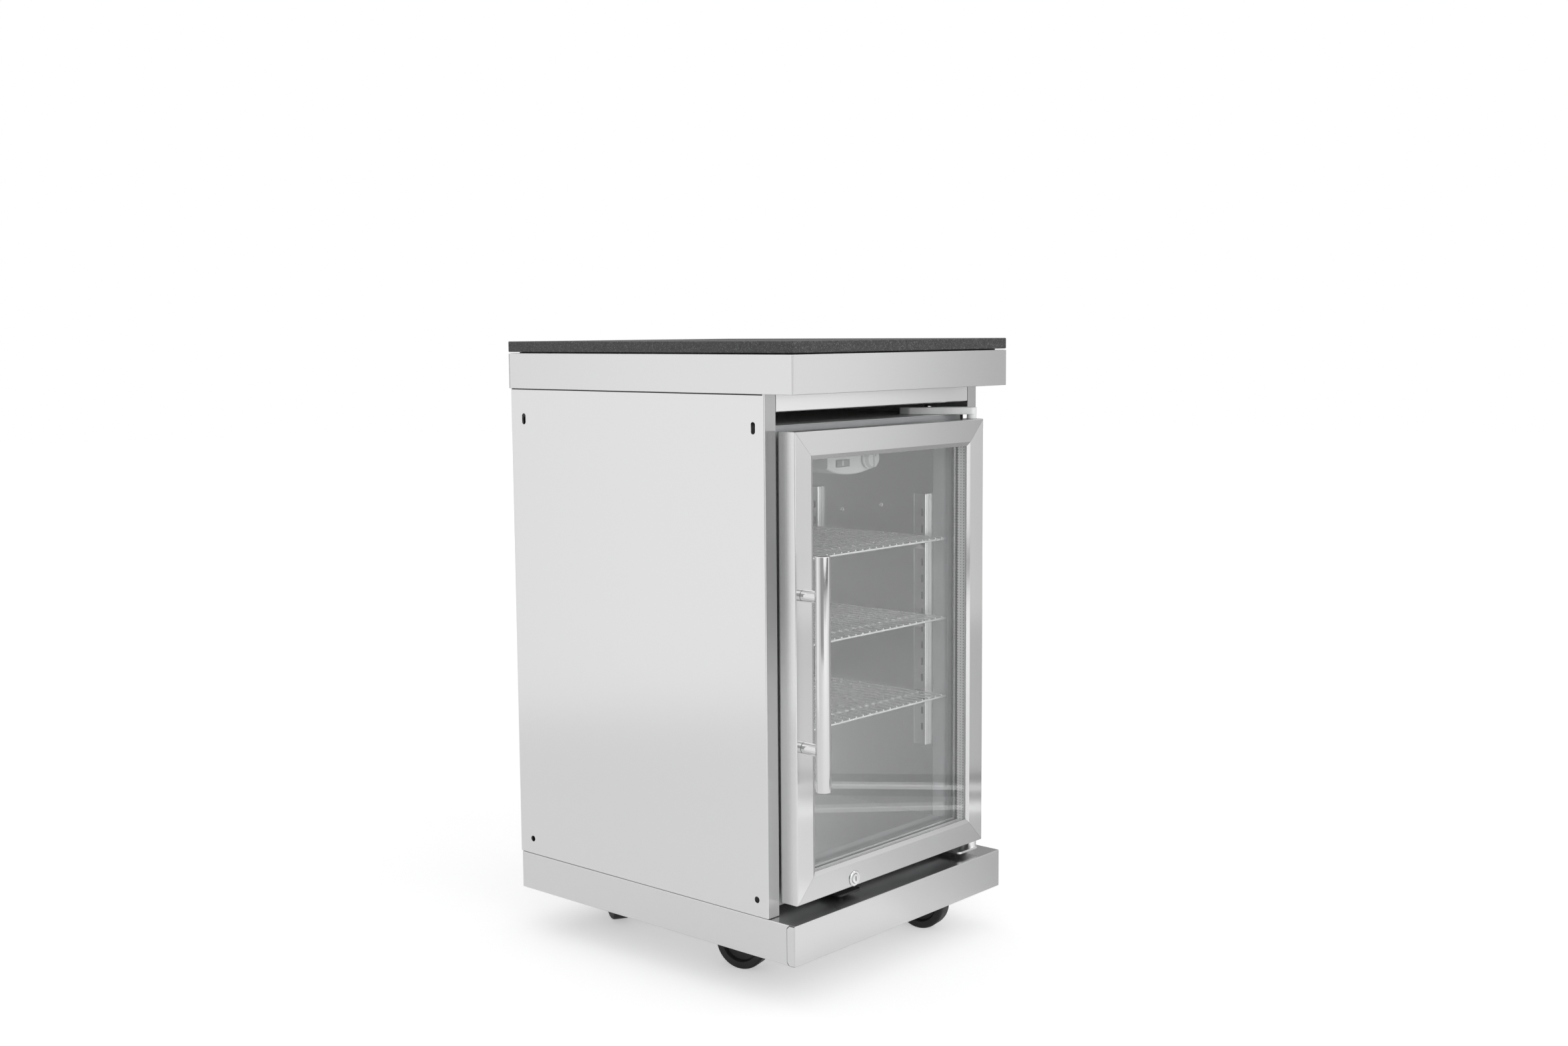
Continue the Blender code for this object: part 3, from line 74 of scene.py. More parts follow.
NOISE_LOW = 0.3
NOISE_HIGH = 0.7
NOISE_ROUGHNESS = 0.55
COOL_TINT = 1.004
OPAQUE_WHITE = (1.0, 1.0, 1.0, 1.0)
OPAQUE_BLACK = (0.0, 0.0, 0.0, 1.0)


class Maker:
    """The node tree of a material or world, with short ways to add and join nodes."""

    def __init__(self, holder, shader):
        self.holder = holder
        holder.use_nodes = True
        self.tree = holder.node_tree
        self.shader = self.tree.nodes[shader]

    def node(self, kind, **settings):
        made = self.tree.nodes.new(kind)
        for key, value in settings.items():
            setattr(made, key, value)
        return made

    def join(self, start, end):
        self.tree.links.new(start, end)

    def put(self, node, **values):
        for key, value in values.items():
            node.inputs[key.replace("_", " ")].default_value = value

    def uniform(self, **values):
        self.put(self.shader, **values)

    def calculate(self, operation, *inputs):
        """One step of arithmetic on sockets and numbers."""
        made = self.node("ShaderNodeMath", operation=operation)
        for socket, value in zip(made.inputs, inputs):
            if isinstance(value, float):
                socket.default_value = value
            else:
                self.join(value, socket)
        return made.outputs[0]

    def place(self, scale):
        """Coordinates in metres in the part's own frame, times one scale or one for each axis."""
        source = self.node("ShaderNodeTexCoord")
        mapping = self.node("ShaderNodeMapping")
        self.put(mapping, Scale=(scale,) * 3 if isinstance(scale, float) else scale)
        self.join(source.outputs["Object"], mapping.inputs["Vector"])
        return mapping.outputs["Vector"]

    def noise(self, scale, detail):
        made = self.node("ShaderNodeTexNoise")
        self.put(made, Scale=1.0, Detail=detail, Roughness=NOISE_ROUGHNESS)
        self.join(self.place(scale), made.inputs["Vector"])
        return made.outputs["Fac"]

    def ramp(self, factor, *stops):
        made = self.node("ShaderNodeValToRGB")
        elements = made.color_ramp.elements
        while len(elements) < len(stops):
            elements.new(0.5)
        for element, (position, colour) in zip(elements, stops):
            element.position = position
            element.color = (*colour, 1.0)
        self.join(factor, made.inputs["Fac"])
        return made.outputs["Color"]

    def shades(self, noise, dark, light):
        """Colours from a dark one to a light one, over the range in which noise mostly lies."""
        return self.ramp(noise, (NOISE_LOW, dark), (NOISE_HIGH, light))

    def spread(self, factor, low, high, start=NOISE_LOW, end=NOISE_HIGH):
        """Values from low to high, if not told otherwise over the range in which noise mostly lies."""
        made = self.node("ShaderNodeMapRange")
        self.put(made, From_Min=start, From_Max=end, To_Min=low, To_Max=high)
        self.join(factor, made.inputs["Value"])
        return made.outputs["Result"]

    def blend(self, factor, first, second):
        made = self.node("ShaderNodeMix", data_type="RGBA")
        made.inputs[0].default_value = factor
        self.join(first, made.inputs[6])
        self.join(second, made.inputs[7])
        return made.outputs[2]

    def bump(self, height, strength, distance):
        made = self.node("ShaderNodeBump")
        self.put(made, Strength=strength, Distance=distance)
        self.join(height, made.inputs["Height"])
        self.join(made.outputs["Normal"], self.shader.inputs["Normal"])

    def colour(self, output):
        self.join(output, self.shader.inputs["Base Color"])

    def rough(self, output):
        self.join(output, self.shader.inputs["Roughness"])


def surface(name):
    return Maker(bpy.data.materials.new(name), "Principled BSDF")


def grey(value):
    return (value, value, value * COOL_TINT)


def grey_pair(tone, darker, lighter):
    return grey(tone * darker), grey(min(1.0, tone * lighter))


def brushed(name, grain, tone, low, high, pull=0.75):
    """Brushed stainless steel whose fine grain runs along one axis."""
    along = "XYZ".index(grain)
    hair_scale = [2600.0, 2600.0, 2600.0]
    hair_scale[along] = 14.0
    streak_scale = [420.0, 420.0, 420.0]
    streak_scale[along] = 2.2
    m = surface(name)
    hair = m.noise(hair_scale, detail=2.0)
    streak = m.noise(streak_scale, detail=4.0)
    cloud = m.noise(5.0, detail=2.0)
    darker, lighter = grey_pair(tone, 0.985, 1.015)
    hair_tone = m.ramp(hair, (0.25, darker), (0.75, lighter))
    streak_tone = m.shades(streak, *grey_pair(tone, 0.995, 1.005))
    m.colour(m.blend(0.45, hair_tone, streak_tone))
    m.rough(m.spread(m.blend(0.35, streak, cloud), low, high))
    m.bump(hair, strength=0.003, distance=0.00012)
    around = m.node("ShaderNodeTangent", direction_type="RADIAL", axis="Z")
    m.join(around.outputs["Tangent"], m.shader.inputs["Tangent"])
    m.uniform(Metallic=1.0, Anisotropic=pull, Anisotropic_Rotation=0.0 if grain == "Z" else 0.25)
    return m.holder


def polished(name, tone, low, high, depth=0.03, metal=1.0):
    """Bright metal with faint wiping marks."""
    m = surface(name)
    smear = m.noise((38.0, 38.0, 9.0), detail=4.0)
    m.colour(m.shades(smear, *grey_pair(tone, 0.96, 1.03)))
    m.rough(m.spread(smear, low, high))
    m.bump(m.noise(900.0, detail=2.0), strength=depth, distance=0.0001)
    m.uniform(Metallic=metal)
    return m.holder


def satin(name, tone, low, high):
    """Smooth steel sheet with an even, very fine finish."""
    m = surface(name)
    fine = m.noise(1100.0, detail=2.0)
    m.colour(m.shades(fine, *grey_pair(tone, 0.985, 1.015)))
    m.rough(m.spread(fine, low, high))
    m.bump(fine, strength=0.01, distance=0.0001)
    m.uniform(Metallic=1.0)
    return m.holder


def granite(name):
    """Dark stone with crystals of about 1.3 mm."""
    m = surface(name)
    cells = m.node("ShaderNodeTexVoronoi")
    m.put(cells, Scale=1.0)
    m.join(m.place(760.0), cells.inputs["Vector"])
    tint = m.node("ShaderNodeSeparateColor")
    m.join(cells.outputs["Color"], tint.inputs["Color"])
    stops = ((0.0, 0.020), (0.45, 0.046), (0.80, 0.075), (0.97, 0.20))
    crystals = m.ramp(tint.outputs["Red"], *((at, grey(tone)) for at, tone in stops))
    cloud = m.shades(m.noise(150.0, detail=3.0), grey(0.036), grey(0.066))
    m.colour(m.blend(0.5, crystals, cloud))
    m.rough(m.spread(m.noise(420.0, detail=2.0), 0.36, 0.60))
    m.bump(m.noise(1400.0, detail=2.0), strength=0.18, distance=0.0002)
    m.uniform(Specular_IOR_Level=0.4)
    return m.holder


def moulded(name, colour, low, high, grain=1500.0, depth=0.12):
    """Paint, moulded plastic or rubber with a fine texture."""
    m = surface(name)
    cloud = m.noise(24.0, detail=3.0)
    darker = tuple(part * 0.93 for part in colour)
    lighter = tuple(min(1.0, part * 1.05) for part in colour)
    m.colour(m.shades(cloud, darker, lighter))
    m.rough(m.spread(cloud, low, high))
    m.bump(m.noise(grain, detail=2.0), strength=depth, distance=0.0002)
    return m.holder


def clear_glass(name, tint):
    """Clear float glass, which lets the light of the lamps pass."""
    m = surface(name)
    lighter = tuple(min(1.0, part * 1.01) for part in tint)
    m.colour(m.shades(m.noise(3.0, detail=1.0), tint, lighter))
    m.uniform(Transmission_Weight=1.0, IOR=1.52, Metallic=0.0, Roughness=0.0)
    path = m.node("ShaderNodeLightPath")
    clear = m.node("ShaderNodeBsdfTransparent")
    mixed = m.node("ShaderNodeMixShader")
    m.join(path.outputs["Is Shadow Ray"], mixed.inputs[0])
    m.join(m.shader.outputs[0], mixed.inputs[1])
    m.join(clear.outputs[0], mixed.inputs[2])
    m.join(mixed.outputs[0], m.tree.nodes["Material Output"].inputs["Surface"])
    return m.holder


def perforated(name):
    """Aluminium spacer bar with rows of small holes."""
    hole_pitch = 0.0042
    row_pitch = 0.0052
    m = surface(name)
    split = m.node("ShaderNodeSeparateXYZ")
    m.join(m.place(1.0), split.inputs["Vector"])

    def wave(axis, pitch):
        turns = m.calculate("MULTIPLY", split.outputs[axis], math.tau / pitch)
        return m.calculate("COSINE", turns)

    along = m.calculate("MAXIMUM", wave("Z", hole_pitch), wave("X", hole_pitch))
    dots = m.calculate("MINIMUM", along, wave("Y", row_pitch))
    m.colour(m.ramp(dots, (0.55, grey(0.90)), (0.75, grey(0.18))))
    m.rough(m.spread(m.noise((700.0, 700.0, 40.0), detail=2.0), 0.30, 0.45))
    m.uniform(Metallic=0.35)
    return m.holder


def finned(name, tone):
    """Dull aluminium of the cooling unit."""
    m = surface(name)
    mark = m.noise((260.0, 260.0, 40.0), detail=3.0)
    m.colour(m.shades(mark, *grey_pair(tone, 0.85, 1.1)))
    m.rough(m.spread(mark, 0.35, 0.55))
    m.bump(mark, strength=0.2, distance=0.0002)
    m.uniform(Metallic=1.0)
    return m.holder


def foam(name):
    m = surface(name)
    cells = m.noise(420.0, detail=4.0)
    m.colour(m.shades(cells, (0.62, 0.55, 0.34), (0.80, 0.73, 0.50)))
    m.rough(m.spread(cells, 0.8, 0.95))
    m.bump(cells, strength=0.5, distance=0.0006)
    return m.holder


# Name, then grain if any, tone or colour, and the range of roughness

STEEL_ALONG_X = brushed("brushed_steel_x", "X", 0.73, 0.23, 0.25)
# The front rail's steel is a lighter copy of the same brushed steel: painted light against the shade under
# the skirt's overhang.
FRONT_RAIL_LIT_STEEL = brushed("front_rail_painted_light_steel", "X", 0.90, 0.23, 0.25)
STEEL_ALONG_Z = brushed("brushed_steel_z", "Z", 0.78, 0.25, 0.27)
# The flange's steel is a darker copy of the same brushed steel: painted shade on the faces that look to the
# front.
FLANGE_SHADED_STEEL = brushed("flange_painted_shade_steel", "Z", 0.56, 0.25, 0.27)
RAIL_STEEL = brushed("door_rail_steel", "X", 0.68, 0.21, 0.23)
STILE_STEEL = brushed("door_stile_steel", "Z", 0.79, 0.18, 0.20, pull=0.95)
HANDLE_STEEL = satin("handle_steel", 0.74, 0.05, 0.09)
LINER_STEEL = satin("liner_steel", 0.75, 0.28, 0.31)
CASE_PAINT = moulded("case_paint", (0.70, 0.705, 0.71), 0.30, 0.40)
BRIGHT_STEEL = polished("bright_steel", 0.90, 0.20, 0.30)
STANDARD_STEEL = satin("standard_steel", 0.94, 0.20, 0.24)
WIRE_STEEL = polished("wire_chrome", 0.95, 0.20, 0.30, metal=0.55)
LOCK_STEEL = polished("lock_chrome", 0.84, 0.06, 0.16)
ZINC = polished("zinc_plate", 0.55, 0.25, 0.42, depth=0.1)
STONE = granite("dark_granite")
WHITE = moulded("white_plastic", (0.86, 0.865, 0.87), 0.30, 0.45)
GREY = moulded("grey_plastic", (0.36, 0.37, 0.38), 0.35, 0.5)
COLLAR = moulded("collar_plastic", (0.50, 0.51, 0.52), 0.28, 0.42)
RUBBER = moulded("black_rubber", (0.012, 0.012, 0.013), 0.42, 0.62, grain=900.0, depth=0.25)
SEAL = moulded("seal_rubber", (0.10, 0.105, 0.11), 0.45, 0.60, grain=700.0, depth=0.2)
BLACK = moulded("black_paint", (0.016, 0.016, 0.018), 0.32, 0.48)
GLASS = clear_glass("clear_glass", (0.966, 0.971, 0.969))
SPACER = perforated("spacer_bar")
COIL = finned("cooling_aluminium", 0.5)
FOAM = foam("insulation_foam")


# Mesh building, with all lengths in metres

TINY = 1e-6
WELD = 0.000002
CUT_SPARE = 0.01
FINE_RIM = 0.0002
FRONT_FACING = -0.9


def add_object(name, data):
    made = bpy.data.objects.new(name, data)
    SCENE.collection.objects.link(made)
    return made


def mesh_of(name, shape):
    mesh = bpy.data.meshes.new(name)
    shape.to_mesh(mesh)
    shape.free()
    return mesh


def inset(span, by):
    return span[0] + by, span[1] - by


def about(middle, half):
    return middle - half, middle + half


def middle_of(span):
    return (span[0] + span[1]) / 2


def node_spans(name):
    low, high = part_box(name)
    return tuple((low[i], high[i]) for i in range(3))


def soften(shape, edges, radius, steps, clamp=False):
    """Rounds some edges of a shape."""
    bmesh.ops.bevel(
        shape, geom=edges, offset=radius, segments=steps, affect="EDGES", profile=0.5, clamp_overlap=clamp
    )


def upright_edges(shape):
    return [e for e in shape.edges if abs(e.verts[0].co.z - e.verts[1].co.z) > TINY]


def box_shape(x, y, z, radius=0.0, steps=1):
    """A box between the low and high value of each axis, with rounded edges if it has a radius."""
    shape = bmesh.new()
    bmesh.ops.create_cube(shape, size=1.0)
    spans = (x, y, z)
    bmesh.ops.scale(shape, vec=Vector(high - low for low, high in spans), verts=shape.verts)
    bmesh.ops.translate(shape, vec=Vector((high + low) / 2 for low, high in spans), verts=shape.verts)
    if radius > 0.0:
        soften(shape, shape.edges[:], radius, steps, clamp=True)
    return shape


def rounded(points, radii, steps=4):
    """A closed outline with its corners rounded, each by its own radius."""
    made = []
    count = len(points)
    for i, radius in enumerate(radii):
        here = Vector(points[i])
        before = (Vector(points[i - 1]) - here).normalized()
        after = (Vector(points[(i + 1) % count]) - here).normalized()
        if radius <= 0.0:
            made.append(tuple(here))
            continue
        half = before.angle(after) / 2
        reach = radius / math.tan(half)
        centre = here + (before + after).normalized() * radius / math.sin(half)
        start = here + before * reach - centre
        turn = start.angle_signed(here + after * reach - centre)
        for step in range(steps + 1):
            made.append(tuple(centre + Matrix.Rotation(-turn * step / steps, 2) @ start))
    return made


def arc_points(centre, radius, degrees):
    """Points round a centre, at some angles."""
    turns = [math.radians(angle) for angle in degrees]
    return [(centre[0] + radius * math.cos(turn), centre[1] + radius * math.sin(turn)) for turn in turns]


def prism_shape(points, axis, low, high):
    """A flat outline carried along an axis: its own two ways are the other two axes in order."""
    def spot(u, v, w):
        return {"X": (w, u, v), "Y": (u, w, v), "Z": (u, v, w)}[axis]

    shape = bmesh.new()
    first = [shape.verts.new(spot(u, v, low)) for u, v in points]
    second = [shape.verts.new(spot(u, v, high)) for u, v in points]
    shape.faces.new(first)
    shape.faces.new(second)
    for i in range(len(points)):
        j = (i + 1) % len(points)
        shape.faces.new((first[i], first[j], second[j], second[i]))
    bmesh.ops.recalc_face_normals(shape, faces=shape.faces)
    return shape


def on_axis(origin, axis):
    turn = Z_AXIS.rotation_difference(Vector(axis)).to_matrix().to_4x4()
    return Matrix.Translation(origin) @ turn


def lathe_shape(profile, place, steps, closed=False):
    """A half section of (radius, height) turned about an axis."""
    shape = bmesh.new()
    rings = []
    for radius, height in profile:
        if radius < 1e-7:
            rings.append([shape.verts.new(place @ Vector((0.0, 0.0, height)))])
            continue
        ring = []
        for step in range(steps):
            angle = math.tau * step / steps
            spot = Vector((radius * math.cos(angle), radius * math.sin(angle), height))
            ring.append(shape.verts.new(place @ spot))
        rings.append(ring)
    pairs = list(zip(rings, rings[1:]))
    if closed:
        pairs.append((rings[-1], rings[0]))
    for lower, upper in pairs:
        for i in range(steps):
            j = (i + 1) % steps
            if len(lower) == 1:
                shape.faces.new((lower[0], upper[i], upper[j]))
            elif len(upper) == 1:
                shape.faces.new((lower[i], lower[j], upper[0]))
            else:
                shape.faces.new((lower[i], lower[j], upper[j], upper[i]))
    bmesh.ops.recalc_face_normals(shape, faces=shape.faces)
    return shape


def rod_on(place, radius, low, high, rim, rim_steps, steps):
    """A solid rod with rounded rims, between two heights on an axis."""
    angles = [90.0 * step / rim_steps - 90.0 for step in range(rim_steps + 1)]
    lower = arc_points((radius - rim, low + rim), rim, angles)
    upper = [(r, low + high - h) for r, h in reversed(lower)]
    return lathe_shape([(0.0, low), *lower, *upper, (0.0, high)], place, steps)


def rod_shape(start, end, radius, rim, steps):
    """A rod from one point to another."""
    along = Vector(end) - Vector(start)
    return rod_on(on_axis(start, along.normalized()), radius, 0.0, along.length, rim, 1, steps)


def ring_shape(profile, x, z, y):
    """A closed profile of (inset, depth) swept round an upright rectangle with mitred corners."""
    shape = bmesh.new()
    loops = []
    for inward, depth in profile:
        left, right = inset(x, inward)
        low, high = inset(z, inward)
        corners = ((left, low), (right, low), (right, high), (left, high))
        loops.append([shape.verts.new((u, y + depth, v)) for u, v in corners])
    count = len(profile)
    for i in range(count):
        j = (i + 1) % count
        for k in range(4):
            m = (k + 1) % 4
            shape.faces.new((loops[i][k], loops[i][m], loops[j][m], loops[j][k]))
    bmesh.ops.recalc_face_normals(shape, faces=shape.faces)
    return shape


def together(*shapes):
    """Several separate shapes as one mesh."""
    made = bmesh.new()
    for shape in shapes:
        mesh = mesh_of("part", shape)
        made.from_mesh(mesh)
        bpy.data.meshes.remove(mesh)
    return made


def combined(target, tools, operation="DIFFERENCE"):
    """The exact Boolean of a shape and some tools."""
    base, *others = [add_object("temporary", mesh_of("temporary", shape)) for shape in (target, *tools)]
    for other in others:
        step = base.modifiers.new("step", "BOOLEAN")
        step.operation = operation
        step.solver = "EXACT"
        step.object = other
    mesh = bpy.data.meshes.new_from_object(base.evaluated_get(bpy.context.evaluated_depsgraph_get()))
    made = bmesh.new()
    made.from_mesh(mesh)
    bpy.data.meshes.remove(mesh)
    for holder in (base, *others):
        bpy.data.objects.remove(holder, do_unlink=True)
    return made


def piece(name, shape, body, material, stands_for=(), sharp=35.0, front=None):
    """Adds a finished mesh that rides on a body and may stand for CAD nodes."""
    bmesh.ops.remove_doubles(shape, verts=shape.verts, dist=WELD)
    mesh = mesh_of(name, shape)
    mesh.shade_smooth()
    mesh.set_sharp_from_angle(angle=math.radians(sharp))
    mesh.materials.append(material)
    # A second material for the faces that look to the front; on the side panels it is a darker copy of the
    # steel, as painted shade.
    if front:
        mesh.materials.append(front)
        for face in mesh.polygons:
            face.material_index = int(face.normal.y < FRONT_FACING)
    made = add_object(name, mesh)
    level = made.modifiers.new("flat_faces", "WEIGHTED_NORMAL")
    level.mode = "FACE_AREA"
    level.keep_sharp = True
    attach(made, body)
    if stands_for:
        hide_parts(*stands_for)


# Cabinet

SHEET = 0.0012
BEND = 0.0020
INNER_BEND = BEND - SHEET
SEAM = 0.0008

SKIRT_EDGE = 0.0008
SKIRT_SEAM_INSET = 0.0022
SKIRT_SEAM_DEPTH = 0.0009
SKIRT_SEAM_HALF = 0.0004
SEAT_HEIGHT = 0.0015
SEAT_INSET = 0.012
SEAT_WIDTH = 0.020
SEAT_EDGE = 0.0003


def make_top_tray():
    x, y, z = node_spans("top_tray")
    top = z[1] - SEAT_HEIGHT
    outer = box_shape(x, y, (z[0], top), SKIRT_EDGE, steps=3)
    inner = box_shape(inset(x, SHEET), inset(y, SHEET), (z[0] - 2 * CUT_SPARE, top - SHEET))
    seam_z = (z[0] - CUT_SPARE, top - SHEET)
    seams = []
    for face in x:
        for at in inset(y, SKIRT_SEAM_INSET):
            seams.append(box_shape(about(face, SKIRT_SEAM_DEPTH), about(at, SKIRT_SEAM_HALF), seam_z))
    tray = combined(outer, [inner] + seams)
    piece("skirted_top", tray, "cabinet", STEEL_ALONG_X, ("top_tray",))
    # The slab rests on a real seat, made of black rubber so that it also stands in as painted shade in the
    # gap line under the slab.
    shade_bed_z = (top - SHEET / 2, z[1])
    shade_bed = box_shape(inset(x, SEAT_INSET), inset(y, SEAT_INSET), shade_bed_z, SEAT_EDGE)
    deep = SEAT_INSET + SEAT_WIDTH
    hollow = box_shape(inset(x, deep), inset(y, deep), (top - CUT_SPARE, z[1] + CUT_SPARE))
    piece("slab_shade_bed", combined(shade_bed, [hollow]), "cabinet", RUBBER)


HOLE_FROM_FRONT = 0.0205
HOLE_FROM_BACK = 0.029
HOLE_RISE = 0.024
HOLE_RADIUS = 0.0045
HOLE_REACH = 0.006
SLOT_DROP = 0.0953
SLOT_RADIUS = 0.004
SLOT_STRETCH = 0.00425
PANEL_SEAM_INSET = 0.003
PANEL_SEAM_DROP = 0.0017
PANEL_SEAM_RISE = 0.004
PANEL_SEAM_DEPTH = 0.0008
# Depths of the black strip in that groove, which is painted shade.
PANEL_SEAM_SHADE_BED = (0.0005, 0.0009)


def make_side_panel(side_name, side):
    node = "side_panel_" + side_name
    x, y, z = node_spans(node)
    outer = side * max(abs(x[0]), abs(x[1]))
    inner = side * min(abs(x[0]), abs(x[1]))
    web = outer - side * SHEET
    points = [
        (inner, y[0]), (outer, y[0]), (outer, y[1]), (inner, y[1]),
        (inner, y[1] - SHEET), (web, y[1] - SHEET), (web, y[0] + SHEET), (inner, y[0] + SHEET),
    ]
    radii = [0.0, BEND, BEND, 0.0, 0.0, INNER_BEND, INNER_BEND, 0.0]
    panel = prism_shape(rounded(points, radii), "Z", z[0] + SEAM, z[1] - SEAM)
    slot_z = z[1] - SLOT_DROP
    reach = (-HOLE_REACH, HOLE_REACH, FINE_RIM, 1)
    tools = []
    for at in (y[0] + HOLE_FROM_FRONT, y[1] - HOLE_FROM_BACK):
        slot = rod_on(on_axis((outer, at, slot_z), X_AXIS), SLOT_RADIUS, *reach, steps=24)
        for vertex in slot.verts:
            vertex.co.z += math.copysign(SLOT_STRETCH, vertex.co.z - slot_z + TINY)
        hole = rod_on(on_axis((outer, at, z[0] + HOLE_RISE), X_AXIS), HOLE_RADIUS, *reach, steps=28)
        tools += [slot, hole]
    skirt_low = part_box("top_tray")[0][2]
    seam = (inset(y, PANEL_SEAM_INSET), (skirt_low - PANEL_SEAM_DROP, skirt_low + PANEL_SEAM_RISE))
    tools.append(box_shape(sorted((outer + side * CUT_SPARE, outer - side * PANEL_SEAM_DEPTH)), *seam))
    panel = combined(panel, tools)
    # A black strip at the bottom of the groove under the skirt: painted shade.
    shade_line = box_shape(sorted(outer - side * depth for depth in PANEL_SEAM_SHADE_BED), *seam)
    piece("panel_shade_strip_" + side_name, shade_line, "cabinet", RUBBER)
    # The panel's faces that look to the front take the darker flange steel, which is painted shade.
    piece(
        "folded_side_" + side_name, panel, "cabinet", STEEL_ALONG_Z, (node,),
        front=FLANGE_SHADED_STEEL,
    )


def make_front_rail():
    x, y, z = node_spans("front_rail")
    high = z[1] - SEAM
    points = [
        (y[0], high), (y[0], z[0]), (y[1], z[0]),
        (y[1], z[0] + SHEET), (y[0] + SHEET, z[0] + SHEET), (y[0] + SHEET, high),
    ]
    outline = rounded(points, [0.0, BEND, 0.0, 0.0, INNER_BEND, 0.0])
    rail = prism_shape(outline, "X", *inset(x, SEAM))
    # The rail's steel is lightened as painted light for the shade under the skirt.
    piece("folded_front_rail", rail, "cabinet", FRONT_RAIL_LIT_STEEL, ("front_rail",))


BASE_SHEET = 0.0015
BASE_EDGE = 0.0014
TAB_FROM = 0.0012
TAB_TO = 0.0138
TAB_INSET = 0.001
TAB_CHAMFER = 0.0042
TAB_DEPTH = 0.0009
TAB_PROUD = 0.0004
# Depths of the black strip at the bottom of each tab's pocket, which is painted shade.
TAB_SHADE_BED = (0.0010, 0.0006)


def make_base_tray():
    x, y, z = node_spans("base_tray")

    def outline(gap):
        near = y[0] + TAB_FROM
        far = y[0] + TAB_TO + gap
        low = z[0] + TAB_INSET - gap
        high = z[1] - TAB_INSET + gap
        return [
            (near, low), (far - TAB_CHAMFER, low), (far, low + TAB_CHAMFER),
            (far, high - TAB_CHAMFER), (far - TAB_CHAMFER, high), (near, high),
        ]

    outer = box_shape(x, y, z, BASE_EDGE, steps=3)
    inner_z = (z[0] - 2 * CUT_SPARE, z[1] - BASE_SHEET)
    inner = box_shape(inset(x, BASE_SHEET), inset(y, BASE_SHEET), inner_z)
    pockets = []
    plates = []
    for side_name, out, face in (("left", -1, x[0]), ("right", 1, x[1])):
        pocket_x = sorted((face - out * TAB_DEPTH, face + out * CUT_SPARE))
        pockets.append(prism_shape(outline(SEAM), "X", *pocket_x))
        plate_x = sorted((face - out * TAB_DEPTH, face + out * TAB_PROUD))
        plate = prism_shape(outline(0.0), "X", *plate_x)
        soften(plate, plate.edges[:], FINE_RIM, steps=2)
        # A black strip at the bottom of the pocket: painted shade in the seam round the tab.
        shade_bed = prism_shape(outline(SEAM), "X", *sorted(face - out * depth for depth in TAB_SHADE_BED))
        plates.append((side_name, plate, shade_bed))
    tray = combined(outer, [inner] + pockets)
    piece("folded_base", tray, "cabinet", STEEL_ALONG_X, ("base_tray",))
    for side_name, plate, shade_bed in plates:
        piece("base_corner_tab_" + side_name, plate, "cabinet", STEEL_ALONG_X)
        # Each black strip is painted shade in its seam.
        piece("base_corner_shade_strip_" + side_name, shade_bed, "cabinet", RUBBER)


# Casters

CASTER_ANGLES = (104.0, -80.0, 60.0, 140.0)
CASTER_TRAIL = 0.045
CASTER_PLATE = 0.003
CASTER_PLATE_EDGE = 0.0008
CROWN_PROFILE = ((0.0, 0.089), (0.0195, 0.089), (0.021, 0.0905), (0.021, 0.0926), (0.0, 0.0926))
LEG_INNER = 0.0155
LEG_OUTER = 0.0185
LEG_REACH = 0.0140
LEG_TOP = 0.092
LEG_FOOT_RADIUS = 0.011
LEG_FOOT_ANGLES = range(-150, 31, 15)
AXLE_HALF = 0.0187
AXLE_RADIUS = 0.005
NUT_FROM = 0.0183
NUT_TO = 0.0222
NUT_RADIUS = 0.0075
NUT_RIM = 0.0008
ROD_RIM = 0.0004
WHEEL_RADIUS = 0.040
WHEEL_HALF = 0.014
TREAD_EDGE = 0.0045
TREAD_ANGLES = range(90, -1, -15)

# Radius, the end of the plate's node that a height is taken from, and the height from there

CASTER_HEAD = (
    (0.0, 0, 0.0), (0.0185, 0, 0.0), (0.021, 0, 0.0022),
    (0.021, 1, -0.006), (0.024, 1, -0.0025), (0.0, 1, -0.0025),
)

# Radius, and how far it lies below the wheel's side

WHEEL_SIDE = (
    (0.0053, 0.0), (0.0118, 0.0), (0.013, 0.0012), (0.0138, 0.005), (0.0265, 0.005),
    (0.0282, 0.0008), (0.0292, 0.0),
)


